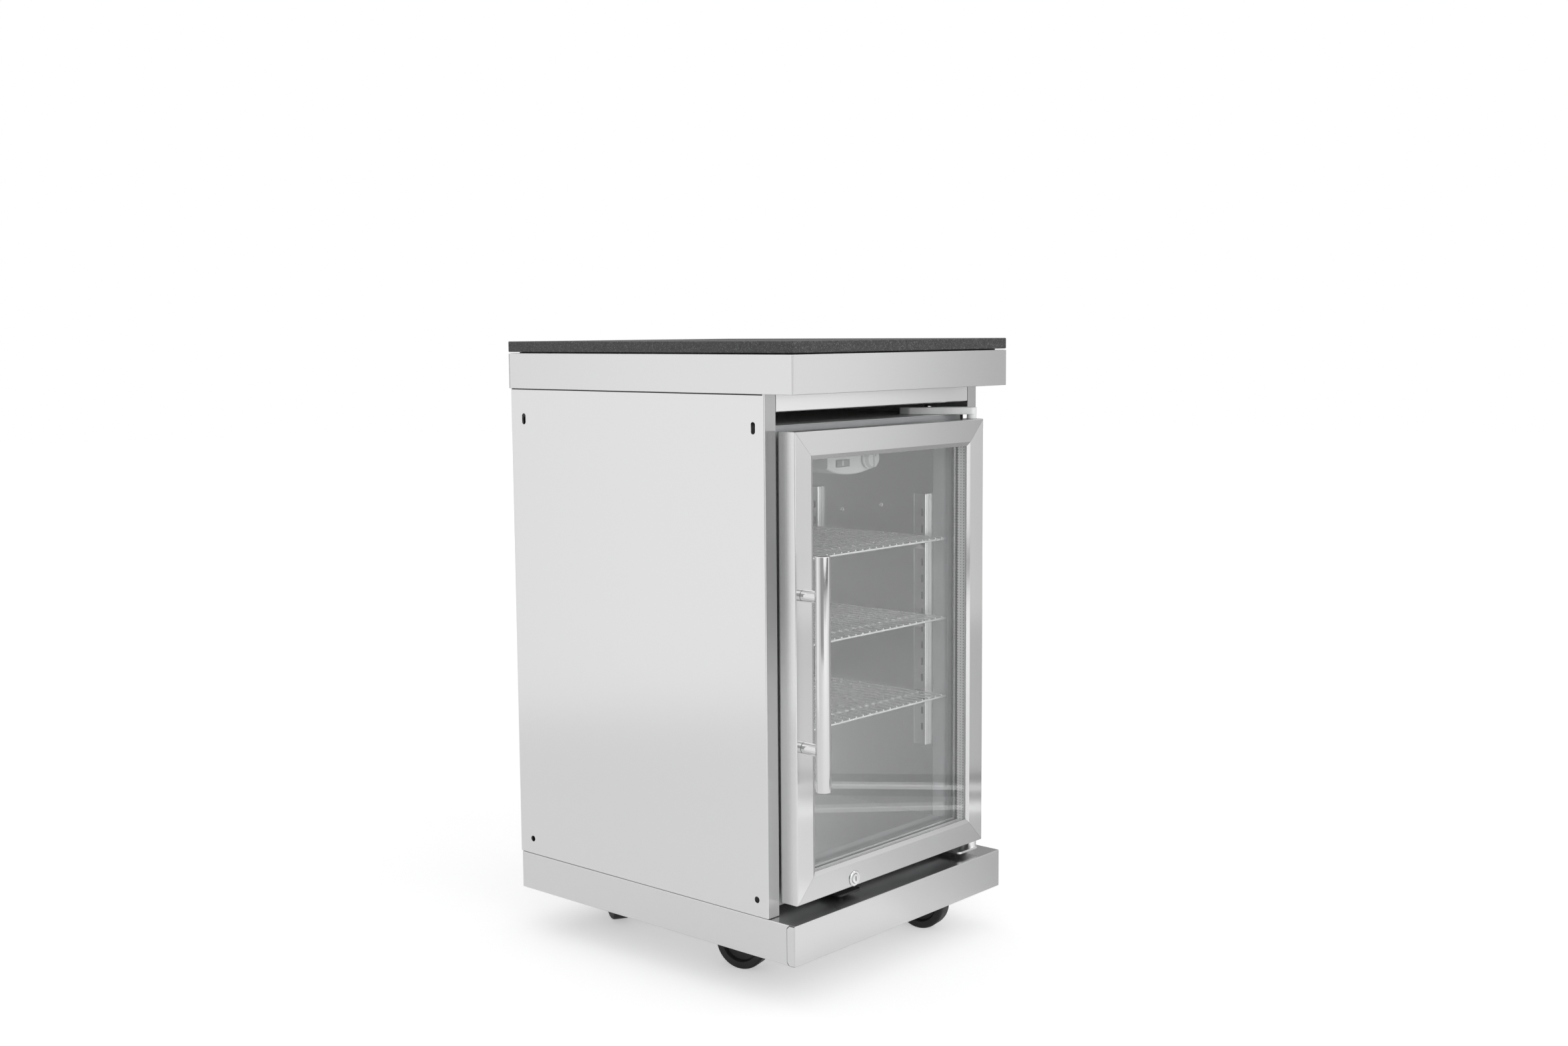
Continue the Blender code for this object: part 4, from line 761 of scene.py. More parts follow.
def make_caster(corner, angle):
    plate_node = "caster_plate_" + corner
    x, y, z = node_spans(plate_node)
    stem = Matrix.Translation((middle_of(x), middle_of(y), 0.0))
    swivel = stem @ Matrix.Rotation(math.radians(angle), 4, "Z")
    plate = box_shape(x, y, (z[1] - CASTER_PLATE, z[1]), CASTER_PLATE_EDGE, steps=2)
    head = [(radius, z[end] + height) for radius, end, height in CASTER_HEAD]
    plate = combined(plate, [lathe_shape(head, stem, steps=48)], "UNION")
    piece("caster_top_" + corner, plate, "cabinet", ZINC, (plate_node,))

    crown = lathe_shape(CROWN_PROFILE, swivel, steps=48)
    foot = arc_points((CASTER_TRAIL, WHEEL_RADIUS), LEG_FOOT_RADIUS, LEG_FOOT_ANGLES)
    outline = [(-LEG_REACH, LEG_TOP), *foot, (LEG_REACH, LEG_TOP)]
    axle_place = swivel @ on_axis((CASTER_TRAIL, 0.0, WHEEL_RADIUS), Y_AXIS)
    legs = []
    nuts = []
    for side in (-1, 1):
        leg = prism_shape(outline, "Y", *sorted((side * LEG_INNER, side * LEG_OUTER)))
        bmesh.ops.transform(leg, matrix=swivel, verts=leg.verts)
        legs.append(leg)
        ends = sorted((side * NUT_FROM, side * NUT_TO))
        nuts.append(rod_on(axle_place, NUT_RADIUS, *ends, NUT_RIM, 1, steps=6))
    axle = rod_on(axle_place, AXLE_RADIUS, -AXLE_HALF, AXLE_HALF, ROD_RIM, 1, steps=24)
    fork = combined(crown, legs + [axle] + nuts, "UNION")
    fork_node = "caster_fork_" + corner
    piece("caster_yoke_" + corner, fork, "caster_swivel_" + corner, ZINC, (fork_node,))

    upper = [(radius, WHEEL_HALF - below) for radius, below in WHEEL_SIDE]
    upper += arc_points((WHEEL_RADIUS - TREAD_EDGE, WHEEL_HALF - TREAD_EDGE), TREAD_EDGE, TREAD_ANGLES)
    profile = upper + [(r, -h) for r, h in reversed(upper)]
    wheel = lathe_shape(profile, axle_place, steps=72, closed=True)
    wheel_node = "caster_wheel_" + corner
    piece("caster_tyre_" + corner, wheel, wheel_node, RUBBER, (wheel_node,))


# Shelves and their standards

SHELF_BAR = 0.0017
SHELF_WIRE = 0.0013
SHELF_HALF = 0.1660
SHELF_CROSS_BARS = (-0.16225, 0.05125)
SHELF_WIRES = 22
WELD_BITE = 0.0006


def make_shelf(node):
    x, y, z = node_spans(node)
    level = z[0] + SHELF_BAR
    front, rear = inset(y, SHELF_BAR)
    rods = [rod_shape((x[0], front, level), (x[1], front, level), SHELF_BAR, ROD_RIM, steps=12)]
    end = SHELF_HALF + WELD_BITE
    for at in (*SHELF_CROSS_BARS, rear):
        rods.append(rod_shape((-end, at, level), (end, at, level), SHELF_BAR, ROD_RIM, steps=12))
    lift = level + SHELF_BAR + SHELF_WIRE - WELD_BITE
    past = SHELF_BAR * 0.5
    for number in range(SHELF_WIRES):
        across = (SHELF_HALF - SHELF_WIRE) * (2 * number / (SHELF_WIRES - 1) - 1)
        start = (across, front - past, lift)
        rods.append(rod_shape(start, (across, rear + past, lift), SHELF_WIRE, ROD_RIM, steps=10))
    piece("wire_" + node, together(*rods), "cabinet", WIRE_STEEL, (node,))


STANDARD_DEPTH = 0.008
STANDARD_BEND = 0.0016
STANDARD_SLOT_PITCH = 0.0254
STANDARD_SLOT_HALF = 0.0055
STANDARD_SLOT_SIDE = (0.0070, 0.0030)
STANDARD_SLOT_REACH = 0.004
STANDARD_END = 0.02
CLIP_TIP = 0.1492
CLIP_GAP = 0.0003
CLIP_HEIGHT = 0.017
CLIP_HALF = 0.01025
CLIP_SHEET = 0.0013
BRACE_TOP = (0.0004, 0.0022)
BRACE_RISE = 0.0018


def make_standard(place, side):
    node = "shelf_standard_" + place
    x, y, z = node_spans(node)
    wall = side * max(abs(x[0]), abs(x[1]))
    face = wall - side * STANDARD_DEPTH
    web = face + side * SHEET
    front, rear = inset(y, SHEET)
    points = [
        (wall, y[0]), (face, y[0]), (face, y[1]), (wall, y[1]),
        (wall, rear), (web, rear), (web, front), (wall, front),
    ]
    inner_bend = STANDARD_BEND - SHEET
    radii = [0.0, STANDARD_BEND, STANDARD_BEND, 0.0, 0.0, inner_bend, inner_bend, 0.0]
    channel = prism_shape(rounded(points, radii, 3), "Z", *z)
    middle = middle_of(y)
    slot_x = about(face, STANDARD_SLOT_REACH)
    slot_y = tuple(middle - off for off in STANDARD_SLOT_SIDE)
    count = int((z[1] - z[0] - STANDARD_END) / STANDARD_SLOT_PITCH)
    first = (z[0] + z[1] - (count - 1) * STANDARD_SLOT_PITCH) / 2
    slots = []
    for number in range(count):
        at = first + number * STANDARD_SLOT_PITCH
        slots.append(box_shape(slot_x, slot_y, about(at, STANDARD_SLOT_HALF)))
    parts = [combined(channel, [together(*slots)])]
    tip = CLIP_TIP * side
    for shelf in SHELVES:
        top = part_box(shelf)[0][2] - CLIP_GAP
        low = top - CLIP_HEIGHT
        ledge = [(web, top), (tip, top), (tip, top - CLIP_SHEET), (web, top - CLIP_SHEET)]
        brace = [
            (tip, top - BRACE_TOP[0]), (face, low + BRACE_RISE),
            (web, low), (tip + side * SHEET, top - BRACE_TOP[1]),
        ]
        for outline in (ledge, brace):
            parts.append(prism_shape(outline, "Y", *about(middle, CLIP_HALF)))
    piece("slotted_" + node, together(*parts), "cabinet", STANDARD_STEEL, (node,))


LINER_WALL = 0.1775
RIVETS = ((-0.0039, 0.632), (-0.0819, 0.644))
RIVET_DOME = ((0.0, 0.0002), (0.0034, 0.0002), (0.0030, 0.0011), (0.0018, 0.0018), (0.0, 0.0021))


def make_rivets():
    shapes = []
    for at, height in RIVETS:
        shapes.append(lathe_shape(RIVET_DOME, on_axis((LINER_WALL, at, height), -X_AXIS), steps=20))
    piece("liner_rivets", together(*shapes), "cabinet", WIRE_STEEL)


# Control housing

HOUSING_GAP = 0.0003
HOUSING_EDGE = 0.0035
HOUSING_STEPS = 24
BELLY_RISE = 0.010
BELLY_CURVE = 2.4
NEAR = 1e-5
POCKET_HALF_WIDTH = 0.0157
POCKET_HALF_HEIGHT = 0.00535
POCKET_DEPTH = 0.009
ROCKER_TILT = 7.0
ROCKER_HALVES = (0.0145, 0.0025, 0.00475)
ROCKER_EDGE = 0.0008
ROCKER_PIN_RADIUS = 0.00125
ROCKER_PIN_HALF = 0.005
MARK_HALF_WIDTH = 0.0016
MARK_HALF_HEIGHT = 0.0040
MARK_DEPTH = (-0.0029, -0.0020)
KNOB_X = 0.037
KNOB_DROP = 0.0215
KNOB_DISH = ((0.0, -0.003), (0.0182, -0.003), (0.0176, 0.0016), (0.0, 0.0016))
KNOB_PROFILE = (
    (0.0, 0.0003), (0.0155, 0.0003), (0.0155, 0.0030), (0.0140, 0.0042),
    (0.0134, 0.0088), (0.0122, 0.0103), (0.0, 0.0103),
)
RIBS = 24
RIB_DEPTH = 0.022
RIB_RADIUS = 0.012
RIB_OUT = 0.004
GRIP_HALF_WIDTH = 0.002
GRIP_HALF_LENGTH = 0.0124
GRIP_OUT = (0.0133, 0.006)
GRIP_EDGE = 0.0007
POINTER_HALF = 0.0006
POINTER_OUT = (0.0136, 0.0130)
POINTER_FROM = 0.003
POINTER_TO = 0.0115
POINTER_EDGE = 0.0001


def make_controls():
    x, y, z = node_spans("control_housing")
    half = (x[1] - x[0]) / 2
    belly = []
    for step in range(HOUSING_STEPS + 1):
        u = 2 * step / HOUSING_STEPS - 1
        belly.append((half * u, z[0] + BELLY_RISE * abs(u) ** BELLY_CURVE))
    housing = prism_shape([(-half, z[1])] + belly + [(half, z[1])], "Y", *y)

    def on_front_rim(vertex):
        return vertex.co.y < y[0] + NEAR and vertex.co.z < z[1] - NEAR

    front_rim = [e for e in housing.edges if all(on_front_rim(v) for v in e.verts)]
    soften(housing, front_rim, HOUSING_EDGE, steps=4)
    switch_x, switch_y, switch_z = (middle_of(span) for span in node_spans("light_switch"))
    pocket = box_shape(
        about(switch_x, POCKET_HALF_WIDTH), (y[0] - CUT_SPARE, y[0] + POCKET_DEPTH),
        about(switch_z, POCKET_HALF_HEIGHT),
    )
    knob_z = z[1] + HOUSING_GAP - KNOB_DROP
    dish = lathe_shape(KNOB_DISH, on_axis((KNOB_X, y[0], knob_z), Y_AXIS), steps=48)
    housing = combined(housing, [pocket, dish])
    piece("control_cover", housing, "cabinet", WHITE, ("control_housing",))

    tilt = Matrix.Rotation(math.radians(ROCKER_TILT), 4, "Z")
    turn = Matrix.Translation((switch_x, switch_y, switch_z)) @ tilt
    rocker = box_shape(*(about(0.0, size) for size in ROCKER_HALVES), ROCKER_EDGE, steps=3)
    pin_ends = about(0.0, ROCKER_PIN_HALF)
    pin = rod_on(Matrix.Identity(4), ROCKER_PIN_RADIUS, *pin_ends, FINE_RIM, 1, steps=16)
    rocker = combined(rocker, [pin], "UNION")
    bmesh.ops.transform(rocker, matrix=turn, verts=rocker.verts)
    piece("rocker_key", rocker, "light_switch", GREY, ("light_switch",))
    mark = box_shape(about(0.0, MARK_HALF_WIDTH), MARK_DEPTH, about(0.0, MARK_HALF_HEIGHT), FINE_RIM)
    bmesh.ops.transform(mark, matrix=turn, verts=mark.verts)
    piece("rocker_mark", mark, "light_switch", WHITE)

    knob = lathe_shape(KNOB_PROFILE, on_axis((KNOB_X, y[0], knob_z), -Y_AXIS), steps=72)
    for vertex in knob.verts:
        off = Vector((vertex.co.x - KNOB_X, 0.0, vertex.co.z - knob_z))
        if off.length > RIB_RADIUS and vertex.co.y < y[0] - RIB_OUT:
            wave = 1.0 + RIB_DEPTH * math.cos(RIBS * math.atan2(off.z, off.x))
            vertex.co.x = KNOB_X + off.x * wave
            vertex.co.z = knob_z + off.z * wave
    grip_y = tuple(y[0] - out for out in GRIP_OUT)
    grip = box_shape(
        about(KNOB_X, GRIP_HALF_WIDTH), grip_y, about(knob_z, GRIP_HALF_LENGTH), GRIP_EDGE, steps=2
    )
    knob = combined(knob, [grip], "UNION")
    piece("dial_knob", knob, "thermostat", WHITE, ("thermostat_knob",))
    pointer_y = tuple(y[0] - out for out in POINTER_OUT)
    pointer_z = (knob_z + POINTER_FROM, knob_z + POINTER_TO)
    pointer = box_shape(about(KNOB_X, POINTER_HALF), pointer_y, pointer_z, POINTER_EDGE)
    piece("dial_pointer", pointer, "thermostat", GREY)


# Door: the outline of a rail is (inward from its outer edge, back from its front)

DOOR_DEPTH = 0.031
DOOR_LIP = DOOR_DEPTH - 0.0027
RAIL_OUTLINE = (
    (0.0, 0.0), (0.033, 0.0), (0.039, 0.0025), (0.039, 0.0037), (0.029, 0.0037),
    (0.029, DOOR_LIP), (0.039, DOOR_LIP), (0.039, DOOR_DEPTH), (0.0, DOOR_DEPTH),
)
RAIL_RADII = (0.0016, 0.0020, 0.0005, 0.0, 0.0, 0.0, 0.0005, 0.0008, 0.0012)
MITRE_GAP = 0.00015
HINGE_FROM_SIDE = 0.0148
HINGE_FROM_FRONT = 0.011
HINGE_BORE = 0.0043
HINGE_BORE_DEPTH = 0.010
LOCK_BORE = 0.0101
LOCK_BORE_DEPTH = 0.0193
BOLT_SPARE = 0.0003


def door_spans():
    """The box round the whole frame of the door."""
    boxes = [node_spans("door_" + part) for part in ("rail_top", "rail_bottom", "stile_left", "stile_right")]
    return tuple((min(box[i][0] for box in boxes), max(box[i][1] for box in boxes)) for i in range(3))


def rail_shape(length, edge, inward):
    """A mitred door rail with softened folds, placed by the middle of its outer edge."""
    inward = Vector(inward)
    along = inward.cross(Y_AXIS)
    shape = prism_shape(rounded(RAIL_OUTLINE, RAIL_RADII, 3), "Z", -length / 2, length / 2)
    turn = Matrix((inward, Y_AXIS, along)).transposed().to_4x4()
    bmesh.ops.transform(shape, matrix=turn, verts=shape.verts)
    for end in (-1, 1):
        everything = shape.verts[:] + shape.edges[:] + shape.faces[:]
        bmesh.ops.bisect_plane(
            shape, geom=everything, dist=TINY, plane_co=along * end * (length / 2 - MITRE_GAP),
            plane_no=along * end + inward, clear_outer=True,
        )
        rim = [e for e in shape.edges if e.is_boundary]
        bmesh.ops.contextual_create(shape, geom=rim)
    bmesh.ops.recalc_face_normals(shape, faces=shape.faces)
    bmesh.ops.translate(shape, vec=Vector(edge), verts=shape.verts)
    return shape


def make_door_frame():
    x, y, z = door_spans()
    width = x[1] - x[0]
    height = z[1] - z[0]
    rows = (
        ("door_rail_top", width, (0.0, y[0], z[1]), (0, 0, -1), RAIL_STEEL),
        ("door_rail_bottom", width, (0.0, y[0], z[0]), (0, 0, 1), RAIL_STEEL),
        ("door_stile_left", height, (x[0], y[0], middle_of(z)), (1, 0, 0), STILE_STEEL),
        ("door_stile_right", height, (x[1], y[0], middle_of(z)), (-1, 0, 0), STILE_STEEL),
    )
    hinge = (x[1] - HINGE_FROM_SIDE, y[0] + HINGE_FROM_FRONT)
    for node, length, edge, inward, material in rows:
        rail = rail_shape(length, edge, inward)
        tools = []
        if node.startswith("door_rail"):
            low, high = about(edge[2], HINGE_BORE_DEPTH)
            tools.append(rod_shape((*hinge, low), (*hinge, high), HINGE_BORE, FINE_RIM, steps=24))
        if node == "door_rail_bottom":
            lock_x, lock_z = lock_middle()
            start = (lock_x, y[0] - CUT_SPARE, lock_z)
            end = (lock_x, y[0] + LOCK_BORE_DEPTH, lock_z)
            tools.append(rod_shape(start, end, LOCK_BORE, FINE_RIM, steps=40))
            bolt_x, bolt_y, bolt_z = (inset(span, -BOLT_SPARE) for span in node_spans("lock_bolt"))
            tools.append(box_shape(bolt_x, bolt_y, (z[0] - CUT_SPARE, bolt_z[1])))
        if tools:
            rail = combined(rail, tools)
        piece("mitred_" + node, rail, "door", material, (node,))


SEAL_WIDTH = 0.018
SEAL_SIDE = ((0.0, 0.0), (0.0, 0.0030), (0.0030, 0.0044), (0.0008, 0.0062))
SEAL_SHOULDER = (0.0002, 0.0012)
SEAL_TOP = 0.0014
SEAL_SHARP = 28.0


def make_gasket():
    x, y, z = node_spans("door_gasket")
    deep = y[1] - y[0]
    outer = [*SEAL_SIDE, (SEAL_SHOULDER[0], deep - SEAL_SHOULDER[1]), (SEAL_TOP, deep)]
    inner = [(SEAL_WIDTH - inward, depth) for inward, depth in outer]
    profile = outer[:1] + inner + outer[:0:-1]
    seal = ring_shape(profile, x, z, y[0])
    piece("bellows_seal", seal, "door", SEAL, ("door_gasket",), SEAL_SHARP)


HANDLE_RIM = 0.0012
POST_RADIUS = 0.0085
POST_RIM = 0.0005
SADDLE_GAP = 0.0002
SADDLE_RIM = 0.001


def make_handle():
    x, y, z = node_spans("handle_tube")
    at_x = middle_of(x)
    at_y = middle_of(y)
    radius = (x[1] - x[0]) / 2
    place = Matrix.Translation((at_x, at_y, 0.0))
    bar = rod_on(place, radius, *z, HANDLE_RIM, 4, steps=72)
    piece("handle_bar", bar, "door", HANDLE_STEEL, ("handle_tube",))
    for end in ("upper", "lower"):
        node = "handle_post_" + end
        post_y, post_z = node_spans(node)[1:]
        post_place = on_axis((at_x, at_y, middle_of(post_z)), Y_AXIS)
        post = rod_on(post_place, POST_RADIUS, 0.0, post_y[1] - at_y, POST_RIM, 2, steps=48)
        saddle = rod_on(place, radius + SADDLE_GAP, *z, SADDLE_RIM, 1, steps=72)
        piece("handle_stub_" + end, combined(post, [saddle]), "door", HANDLE_STEEL, (node,))


# Lock and hinges

LOCK_WALL = (
    (0.0068, 0.0006), (0.0076, 0.0), (0.0100, 0.0), (0.0111, 0.0008), (0.0111, 0.0018), (0.0098, 0.0018),
)
LOCK_BODY = (0.0098, 0.0068)
PLUG_RADIUS = 0.0065
PLUG_RIM = 0.0005
KEY_HALF_WIDTH = 0.0008
KEY_HALF_HEIGHT = 0.0035
KEY_DEPTH = 0.008
STRIKE_CORNER = 0.005
STRIKE_SPARE = 0.0006


def lock_middle():
    spans = node_spans("lock_barrel")
    return middle_of(spans[0]), middle_of(spans[2])


def make_lock():
    low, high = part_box("lock_barrel")
    lock_x, lock_z = lock_middle()
    deep = high[1] - low[1]
    wall = LOCK_WALL + tuple((radius, deep) for radius in LOCK_BODY)
    barrel = lathe_shape(wall, on_axis((lock_x, low[1], lock_z), Y_AXIS), steps=64, closed=True)
    piece("lock_shell", barrel, "door", LOCK_STEEL, ("lock_barrel",))
    plug_y = node_spans("lock_plug")[1]
    plug_place = on_axis((lock_x, plug_y[0], lock_z), Y_AXIS)
    plug = rod_on(plug_place, PLUG_RADIUS, 0.0, plug_y[1] - plug_y[0], PLUG_RIM, 2, steps=48)
    key_y = (plug_y[0] - CUT_SPARE, plug_y[0] + KEY_DEPTH)
    key = box_shape(about(lock_x, KEY_HALF_WIDTH), key_y, about(lock_z, KEY_HALF_HEIGHT))
    piece("lock_core", combined(plug, [key]), "lock_plug", LOCK_STEEL, ("lock_plug",))

    x, y, z = node_spans("lock_strike")
    plate = box_shape(x, y, z)
    soften(plate, upright_edges(plate), STRIKE_CORNER, steps=5)
    bolt_x, bolt_y = (inset(span, -STRIKE_SPARE) for span in node_spans("lock_bolt")[:2])
    slot = box_shape(bolt_x, bolt_y, inset(z, -CUT_SPARE))
    piece("strike_plate", combined(plate, [slot]), "cabinet", BLACK, ("lock_strike",))


ARM_LOW = 0.7873
ARM_LEFT_WIDTH = 0.020
ARM_NOSE = 0.0068
ARM_RADII = (0.0060, 0.004, 0.004, 0.008, 0.0050)
ARM_EDGE = 0.0012
PIN_RADIUS = 0.004
PIN_REACH = 0.008
PIN_RIM = 0.0005
BUSH_GAP = 0.0003
UPPER_BUSH = (0.007, 0.0006)
UPPER_BITE = 0.004
SCREW_PLACE = (0.1720, -0.1800)
SCREW_DOME = (
    (0.0, 0.0001), (0.0062, 0.0001), (0.0060, 0.0012), (0.0045, 0.0026), (0.0022, 0.0033), (0.0, 0.0035),
)
LOWER_PLATE_TOP = 0.1265
LOWER_PLATE_CORNER = 0.006
LOWER_BUSH = (0.0088, 0.0012)
LOWER_BITE = 0.0015


def make_hinges():
    x, y, z = door_spans()
    axis_x = x[1] - HINGE_FROM_SIDE
    axis_y = y[0] + HINGE_FROM_FRONT
    place = Matrix.Translation((axis_x, axis_y, 0.0))
    (left, right), (front, back), arm_z = node_spans("top_hinge")
    points = [
        (right, front), (right, back), (left, back), (left, back - ARM_LEFT_WIDTH),
        (axis_x - ARM_NOSE, front),
    ]
    arm = prism_shape(rounded(points, ARM_RADII, 5), "Z", ARM_LOW, arm_z[1])
    rims = [e for e in arm.edges if abs(e.verts[0].co.z - e.verts[1].co.z) < TINY]
    soften(arm, rims, ARM_EDGE, steps=3)
    high = ARM_LOW + UPPER_BITE
    radius, rim = UPPER_BUSH
    bush = rod_on(place, radius, z[1] + BUSH_GAP, high, rim, 2, steps=40)
    pin = rod_on(place, PIN_RADIUS, z[1] - PIN_REACH, high, PIN_RIM, 2, steps=32)
    arm = combined(arm, [bush, pin], "UNION")
    piece("upper_hinge_arm", arm, "cabinet", WHITE, ("top_hinge",))
    screw = lathe_shape(SCREW_DOME, Matrix.Translation((*SCREW_PLACE, arm_z[1])), steps=32)
    piece("upper_hinge_screw", screw, "cabinet", LOCK_STEEL)

    plate_x, plate_y, plate_z = node_spans("bottom_hinge")
    plate = box_shape(plate_x, plate_y, (plate_z[0], LOWER_PLATE_TOP))
    soften(plate, upright_edges(plate), LOWER_PLATE_CORNER, steps=6)
    low = LOWER_PLATE_TOP - LOWER_BITE
    radius, rim = LOWER_BUSH
    bush = rod_on(place, radius, low, z[0] - BUSH_GAP, rim, 3, steps=48)
    pin = rod_on(place, PIN_RADIUS, low, z[0] + PIN_REACH, PIN_RIM, 2, steps=32)
    plate = combined(plate, [bush, pin], "UNION")
    piece("lower_hinge_plate", plate, "cabinet", BRIGHT_STEEL, ("bottom_hinge",))


# CAD nodes that stay as they are: a material and its nodes

PAINTED = (
    (STONE, "countertop"), (STEEL_ALONG_Z, "back_panel"), (CASE_PAINT, "case"), (LINER_STEEL, "liner"),
    (COLLAR, "front_collar"), (GLASS, "outer_glass", "inner_glass"), (SPACER, "glass_spacer"),
    (FOAM, "insulation"), (COIL, "evaporator", "condenser"), (GREY, "fan_blades"), (ZINC, "lock_bolt"),
    (BLACK, "compressor", "fan_motor", "rear_grille"), (RUBBER, *("foot_" + name for name in CORNERS)),
)


def paint_the_rest():
    for material, *nodes in PAINTED:
        for node in nodes:
            for slot in NODES[node].material_slots:
                slot.material = material


# Floor

FLOOR_RADIUS = 14.0
FLOOR_NEAR_SCALE = 0.14
FLOOR_SEEN = 0.42
FLOOR_FAR = 0.62
FLOOR_MIRRORED = 0.20


def make_floor():
    shape = bmesh.new()
    bmesh.ops.create_circle(shape, cap_ends=True, segments=96, radius=FLOOR_RADIUS)
    floor = add_object("floor", mesh_of("floor", shape))
    m = surface("pale_floor")
    m.colour(m.shades(m.noise(1.2, detail=2.0), grey(0.82), grey(0.84)))
    m.uniform(Roughness=0.85, Specular_IOR_Level=0.1, Emission_Color=OPAQUE_WHITE)
    seen = m.node("ShaderNodeLightPath").outputs
    mirrored = m.calculate("MAXIMUM", seen["Is Glossy Ray"], seen["Is Transmission Ray"])
    softer = m.calculate("MULTIPLY", mirrored, FLOOR_MIRRORED)
    near = m.node("ShaderNodeTexGradient", gradient_type="SPHERICAL")
    m.join(m.place(FLOOR_NEAR_SCALE), near.inputs["Vector"])
    rise = m.spread(near.outputs["Fac"], FLOOR_FAR, FLOOR_SEEN)
    level = m.calculate("MULTIPLY_ADD", seen["Is Camera Ray"], rise, softer)
    m.join(level, m.shader.inputs["Emission Strength"])
    floor.data.materials.append(m.holder)


# Studio cards, whose tones and covers are (compass angle, value)

SWEEP_TONES = (
    (-50.0, 1.0), (-44.0, 0.95), (-41.0, 0.84), (-38.0, 0.57), (-35.0, 0.50),
    (-30.0, 0.56), (-22.0, 0.56), (-8.0, 0.36), (58.0, 0.32),
)
LEFT_TONES = ((108.0, 0.90), (130.0, 0.93), (139.0, 1.0), (172.0, 1.0))
FLAG_COVER = ((-62.0, 0.0), (-42.0, 0.70), (-32.0, 1.0))

# Name, level, then lower radius, upper radius, height, first and last compass angle and steps, then tones

BANDS = (
    ("sweep_card", 0.004, (3.2, 3.2, 2.4, -50.0, 60.0, 36), SWEEP_TONES),
    ("floor_flag", 0.006, (0.42, 3.2, 0.0, -62.0, 45.0, 36), 0.42, FLAG_COVER),
    ("plinth_card", 0.005, (0.40, 0.62, 0.0, -104.0, -66.0, 12), 1.0),
    ("left_card", 0.004, (1.9, 1.9, 2.4, 108.0, 172.0, 24), LEFT_TONES),
    ("key_back", 0.004, (4.2, 4.2, 3.4, -126.0, -62.0, 18), 0.10),
    ("camera_flag", 0.004, (2.9, 2.9, 2.2, -168.0, -126.0, 12), 0.38),
)

# Name, tone, whether it shows through glass, then start, end and width of each strip

STRIP_LEVEL = 0.008
STRIPS = (
    ("light_strip", 1.6, True, (
        ((0.594, -1.077), (0.994, -0.557), 0.036),
        ((0.447, -0.938), (0.857, -0.528), 0.034),
    )),
    ("dark_strip", 0.03, False, (
        ((0.647, -1.124), (1.047, -0.604), 0.068),
        ((0.560, -1.047), (0.960, -0.527), 0.050),
    )),
)


def set_card(name, shape, level, material, through_glass=False):
    """A studio card, which only shows in what metal and glass reflect."""
    card = add_object(name, mesh_of(name, shape))
    card.data.materials.append(material)
    card.location = (0.0, 0.0, level)
    card.visible_camera = False
    card.visible_diffuse = False
    card.visible_transmission = through_glass
    card.visible_shadow = False


def turn_at(degrees):
    """Where a compass angle falls in a radial gradient."""
    return degrees / 360.0 + 0.5


def card_material(name, tones, cover=None):
    """A card of one tone, or one whose tone or cover changes with the compass angle."""
    m = surface(name)
    m.uniform(Base_Color=OPAQUE_BLACK, Specular_IOR_Level=0.0, Roughness=1.0, Emission_Strength=1.0)

    def round_the_object(stops):
        gradient = m.node("ShaderNodeTexGradient", gradient_type="RADIAL")
        m.join(m.place(1.0), gradient.inputs["Vector"])
        return m.ramp(gradient.outputs["Fac"], *((turn_at(at), (tone, tone, tone)) for at, tone in stops))

    if isinstance(tones, float):
        m.uniform(Emission_Color=OPAQUE_WHITE, Emission_Strength=tones)
    else:
        m.join(round_the_object(tones), m.shader.inputs["Emission Color"])
    if cover:
        m.join(round_the_object(cover), m.shader.inputs["Alpha"])
    return m.holder


def band_shape(lower, upper, height, first, last, steps):
    """A sheet bent round the object between two compass angles, upright or flat on the floor."""
    shape = bmesh.new()
    columns = []
    for step in range(steps + 1):
        angle = math.radians(first + (last - first) * step / steps)
        way = Vector((math.cos(angle), math.sin(angle), 0.0))
        columns.append((shape.verts.new(way * lower), shape.verts.new(way * upper + Z_AXIS * height)))
    for left, right in zip(columns, columns[1:]):
        shape.faces.new((left[0], right[0], right[1], left[1]))
    return shape


def strip_shape(start, end, width):
    """A flat strip on the floor from one point to another."""
    start = Vector(start)
    end = Vector(end)
    side = (end - start).normalized().orthogonal() * width / 2
    shape = bmesh.new()
    spots = (start - side, end - side, end + side, start + side)
    shape.faces.new([shape.verts.new((spot.x, spot.y, 0.0)) for spot in spots])
    return shape


def make_cards():
    for name, level, band, *tones in BANDS:
        set_card(name, band_shape(*band), level, card_material(name, *tones))
    for name, tone, through_glass, strips in STRIPS:
        material = card_material(name, tone)
        for number, strip in enumerate(strips):
            set_card(name + "_%d" % number, strip_shape(*strip), STRIP_LEVEL, material, through_glass)


# Light: a lamp is name, place, target, size and watts

LAMPS = (
    ("key_lamp", (-0.9, -3.2, 1.5), (0.0, 0.0, 0.7), (4.6, 2.8), 46.0),
    ("fill_lamp", (2.4, -2.4, 2.6), (0.0, 0.0, 0.5), (2.0, 1.6), 8.0),
    ("back_lamp", (0.3, 2.8, 2.8), (0.0, 0.0, 0.6), (2.4, 1.6), 10.0),
)
WORLD_LIGHT = 0.60
WORLD_SEEN = 1.0


def make_lamp(name, place, target, size, watts):
    data = bpy.data.lights.new(name, "AREA")
    data.shape = "RECTANGLE"
    data.size, data.size_y = size
    data.energy = watts
    lamp = add_object(name, data)
    lamp.location = place
    aim = Vector(target) - Vector(place)
    lamp.rotation_euler = aim.to_track_quat("-Z", "Y").to_euler()


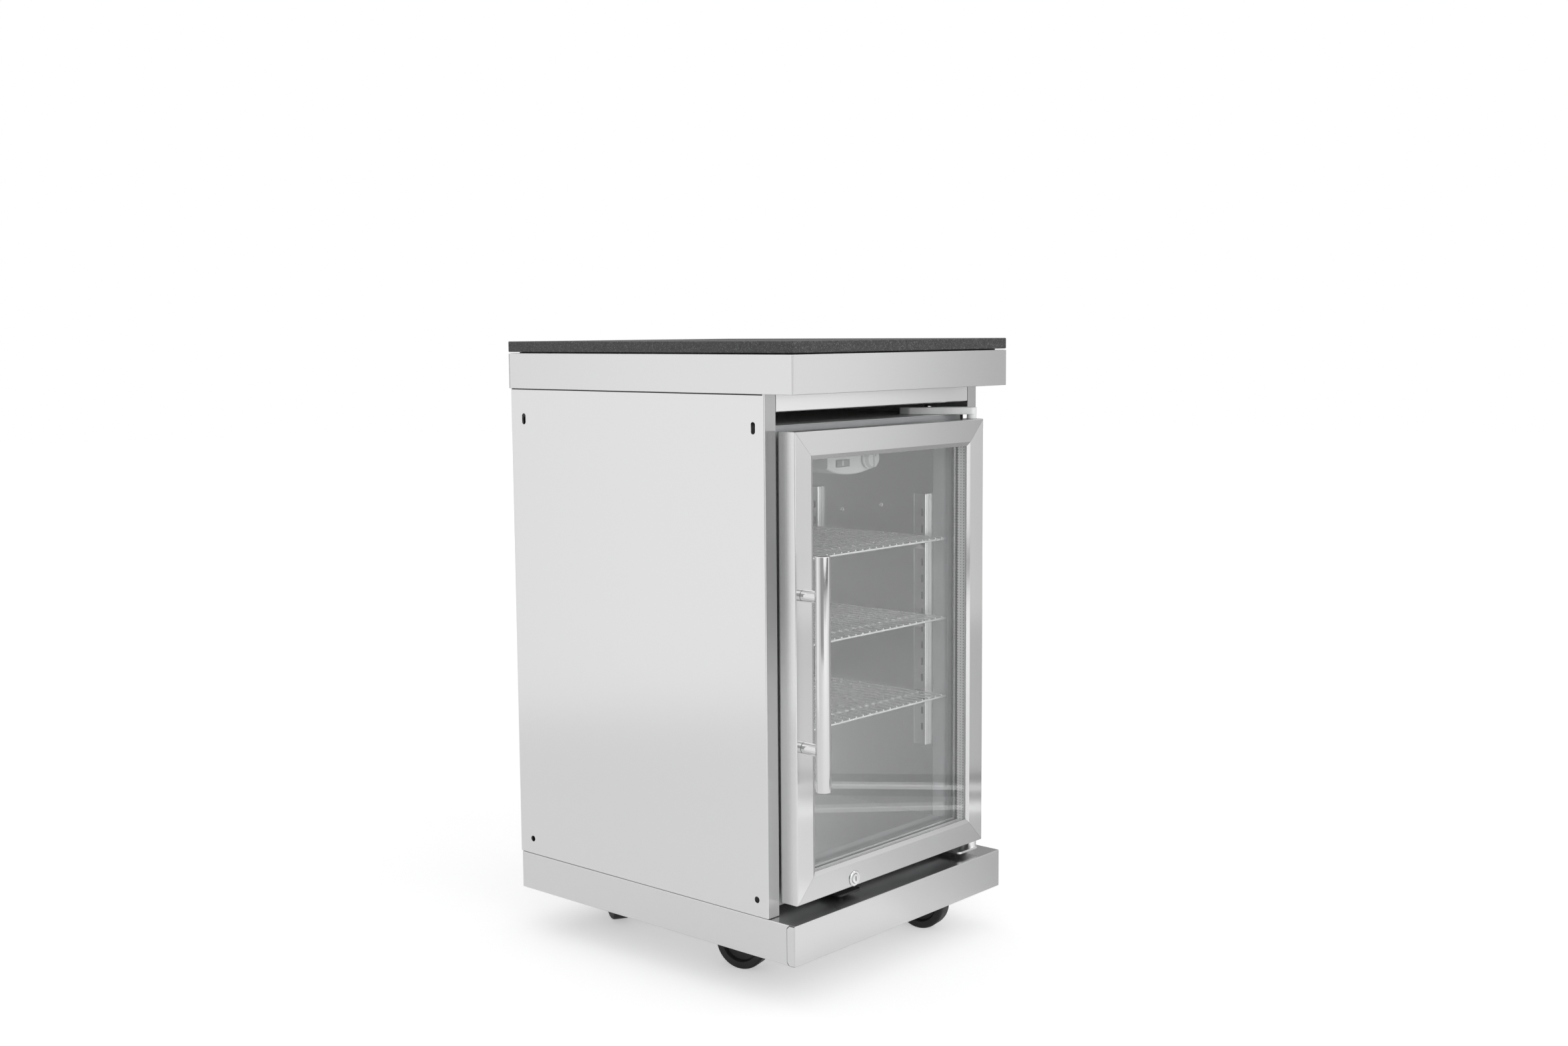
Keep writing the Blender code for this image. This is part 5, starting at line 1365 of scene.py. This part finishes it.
def make_world():
    m = Maker(bpy.data.worlds.new("studio"), "Background")
    SCENE.world = m.holder
    m.uniform(Color=OPAQUE_WHITE)
    seen = m.node("ShaderNodeLightPath").outputs
    looked_at = m.calculate("MAXIMUM", seen["Is Camera Ray"], seen["Is Glossy Ray"])
    looked_at = m.calculate("MAXIMUM", looked_at, seen["Is Transmission Ray"])
    m.join(m.spread(looked_at, WORLD_LIGHT, WORLD_SEEN, 0.0, 1.0), m.shader.inputs["Strength"])


# Camera, solved from the straight edges of the photograph

CAMERA_PLACE = (-2.009, -1.8203, 0.915)
CAMERA_AZIMUTH = -48.48
CAMERA_ELEVATION = 6.11
CAMERA_ROLL = -0.42
CAMERA_LENS = 41.48
CAMERA_SENSOR = 36.0
CAMERA_FAR = 60.0


def make_camera():
    azimuth = math.radians(CAMERA_AZIMUTH)
    elevation = math.radians(CAMERA_ELEVATION)
    roll = math.radians(CAMERA_ROLL)
    reach = math.cos(elevation)
    back = Vector((math.sin(azimuth) * reach, -math.cos(azimuth) * reach, math.sin(elevation)))
    level = (-back).cross(Z_AXIS).normalized()
    upward = level.cross(-back)
    right = level * math.cos(roll) + upward * math.sin(roll)
    up = upward * math.cos(roll) - level * math.sin(roll)
    data = bpy.data.cameras.new("camera")
    data.lens = CAMERA_LENS
    data.sensor_width = CAMERA_SENSOR
    data.sensor_fit = "HORIZONTAL"
    data.clip_end = CAMERA_FAR
    camera = add_object("camera", data)
    turn = Matrix((right, up, back)).transposed().to_4x4()
    camera.matrix_world = Matrix.Translation(CAMERA_PLACE) @ turn
    SCENE.camera = camera


# The whole scene

make_top_tray()
make_side_panel("left", -1)
make_side_panel("right", 1)
make_front_rail()
make_base_tray()
for corner, angle in zip(CORNERS, CASTER_ANGLES):
    make_caster(corner, angle)
for shelf in SHELVES:
    make_shelf(shelf)
for place in CORNERS:
    make_standard(place, -1 if place.endswith("left") else 1)
make_rivets()
make_controls()
make_door_frame()
make_gasket()
make_handle()
make_lock()
make_hinges()
paint_the_rest()
make_floor()
make_cards()
for lamp in LAMPS:
    make_lamp(*lamp)
make_world()
make_camera()
SCENE.view_settings.view_transform = "Standard"
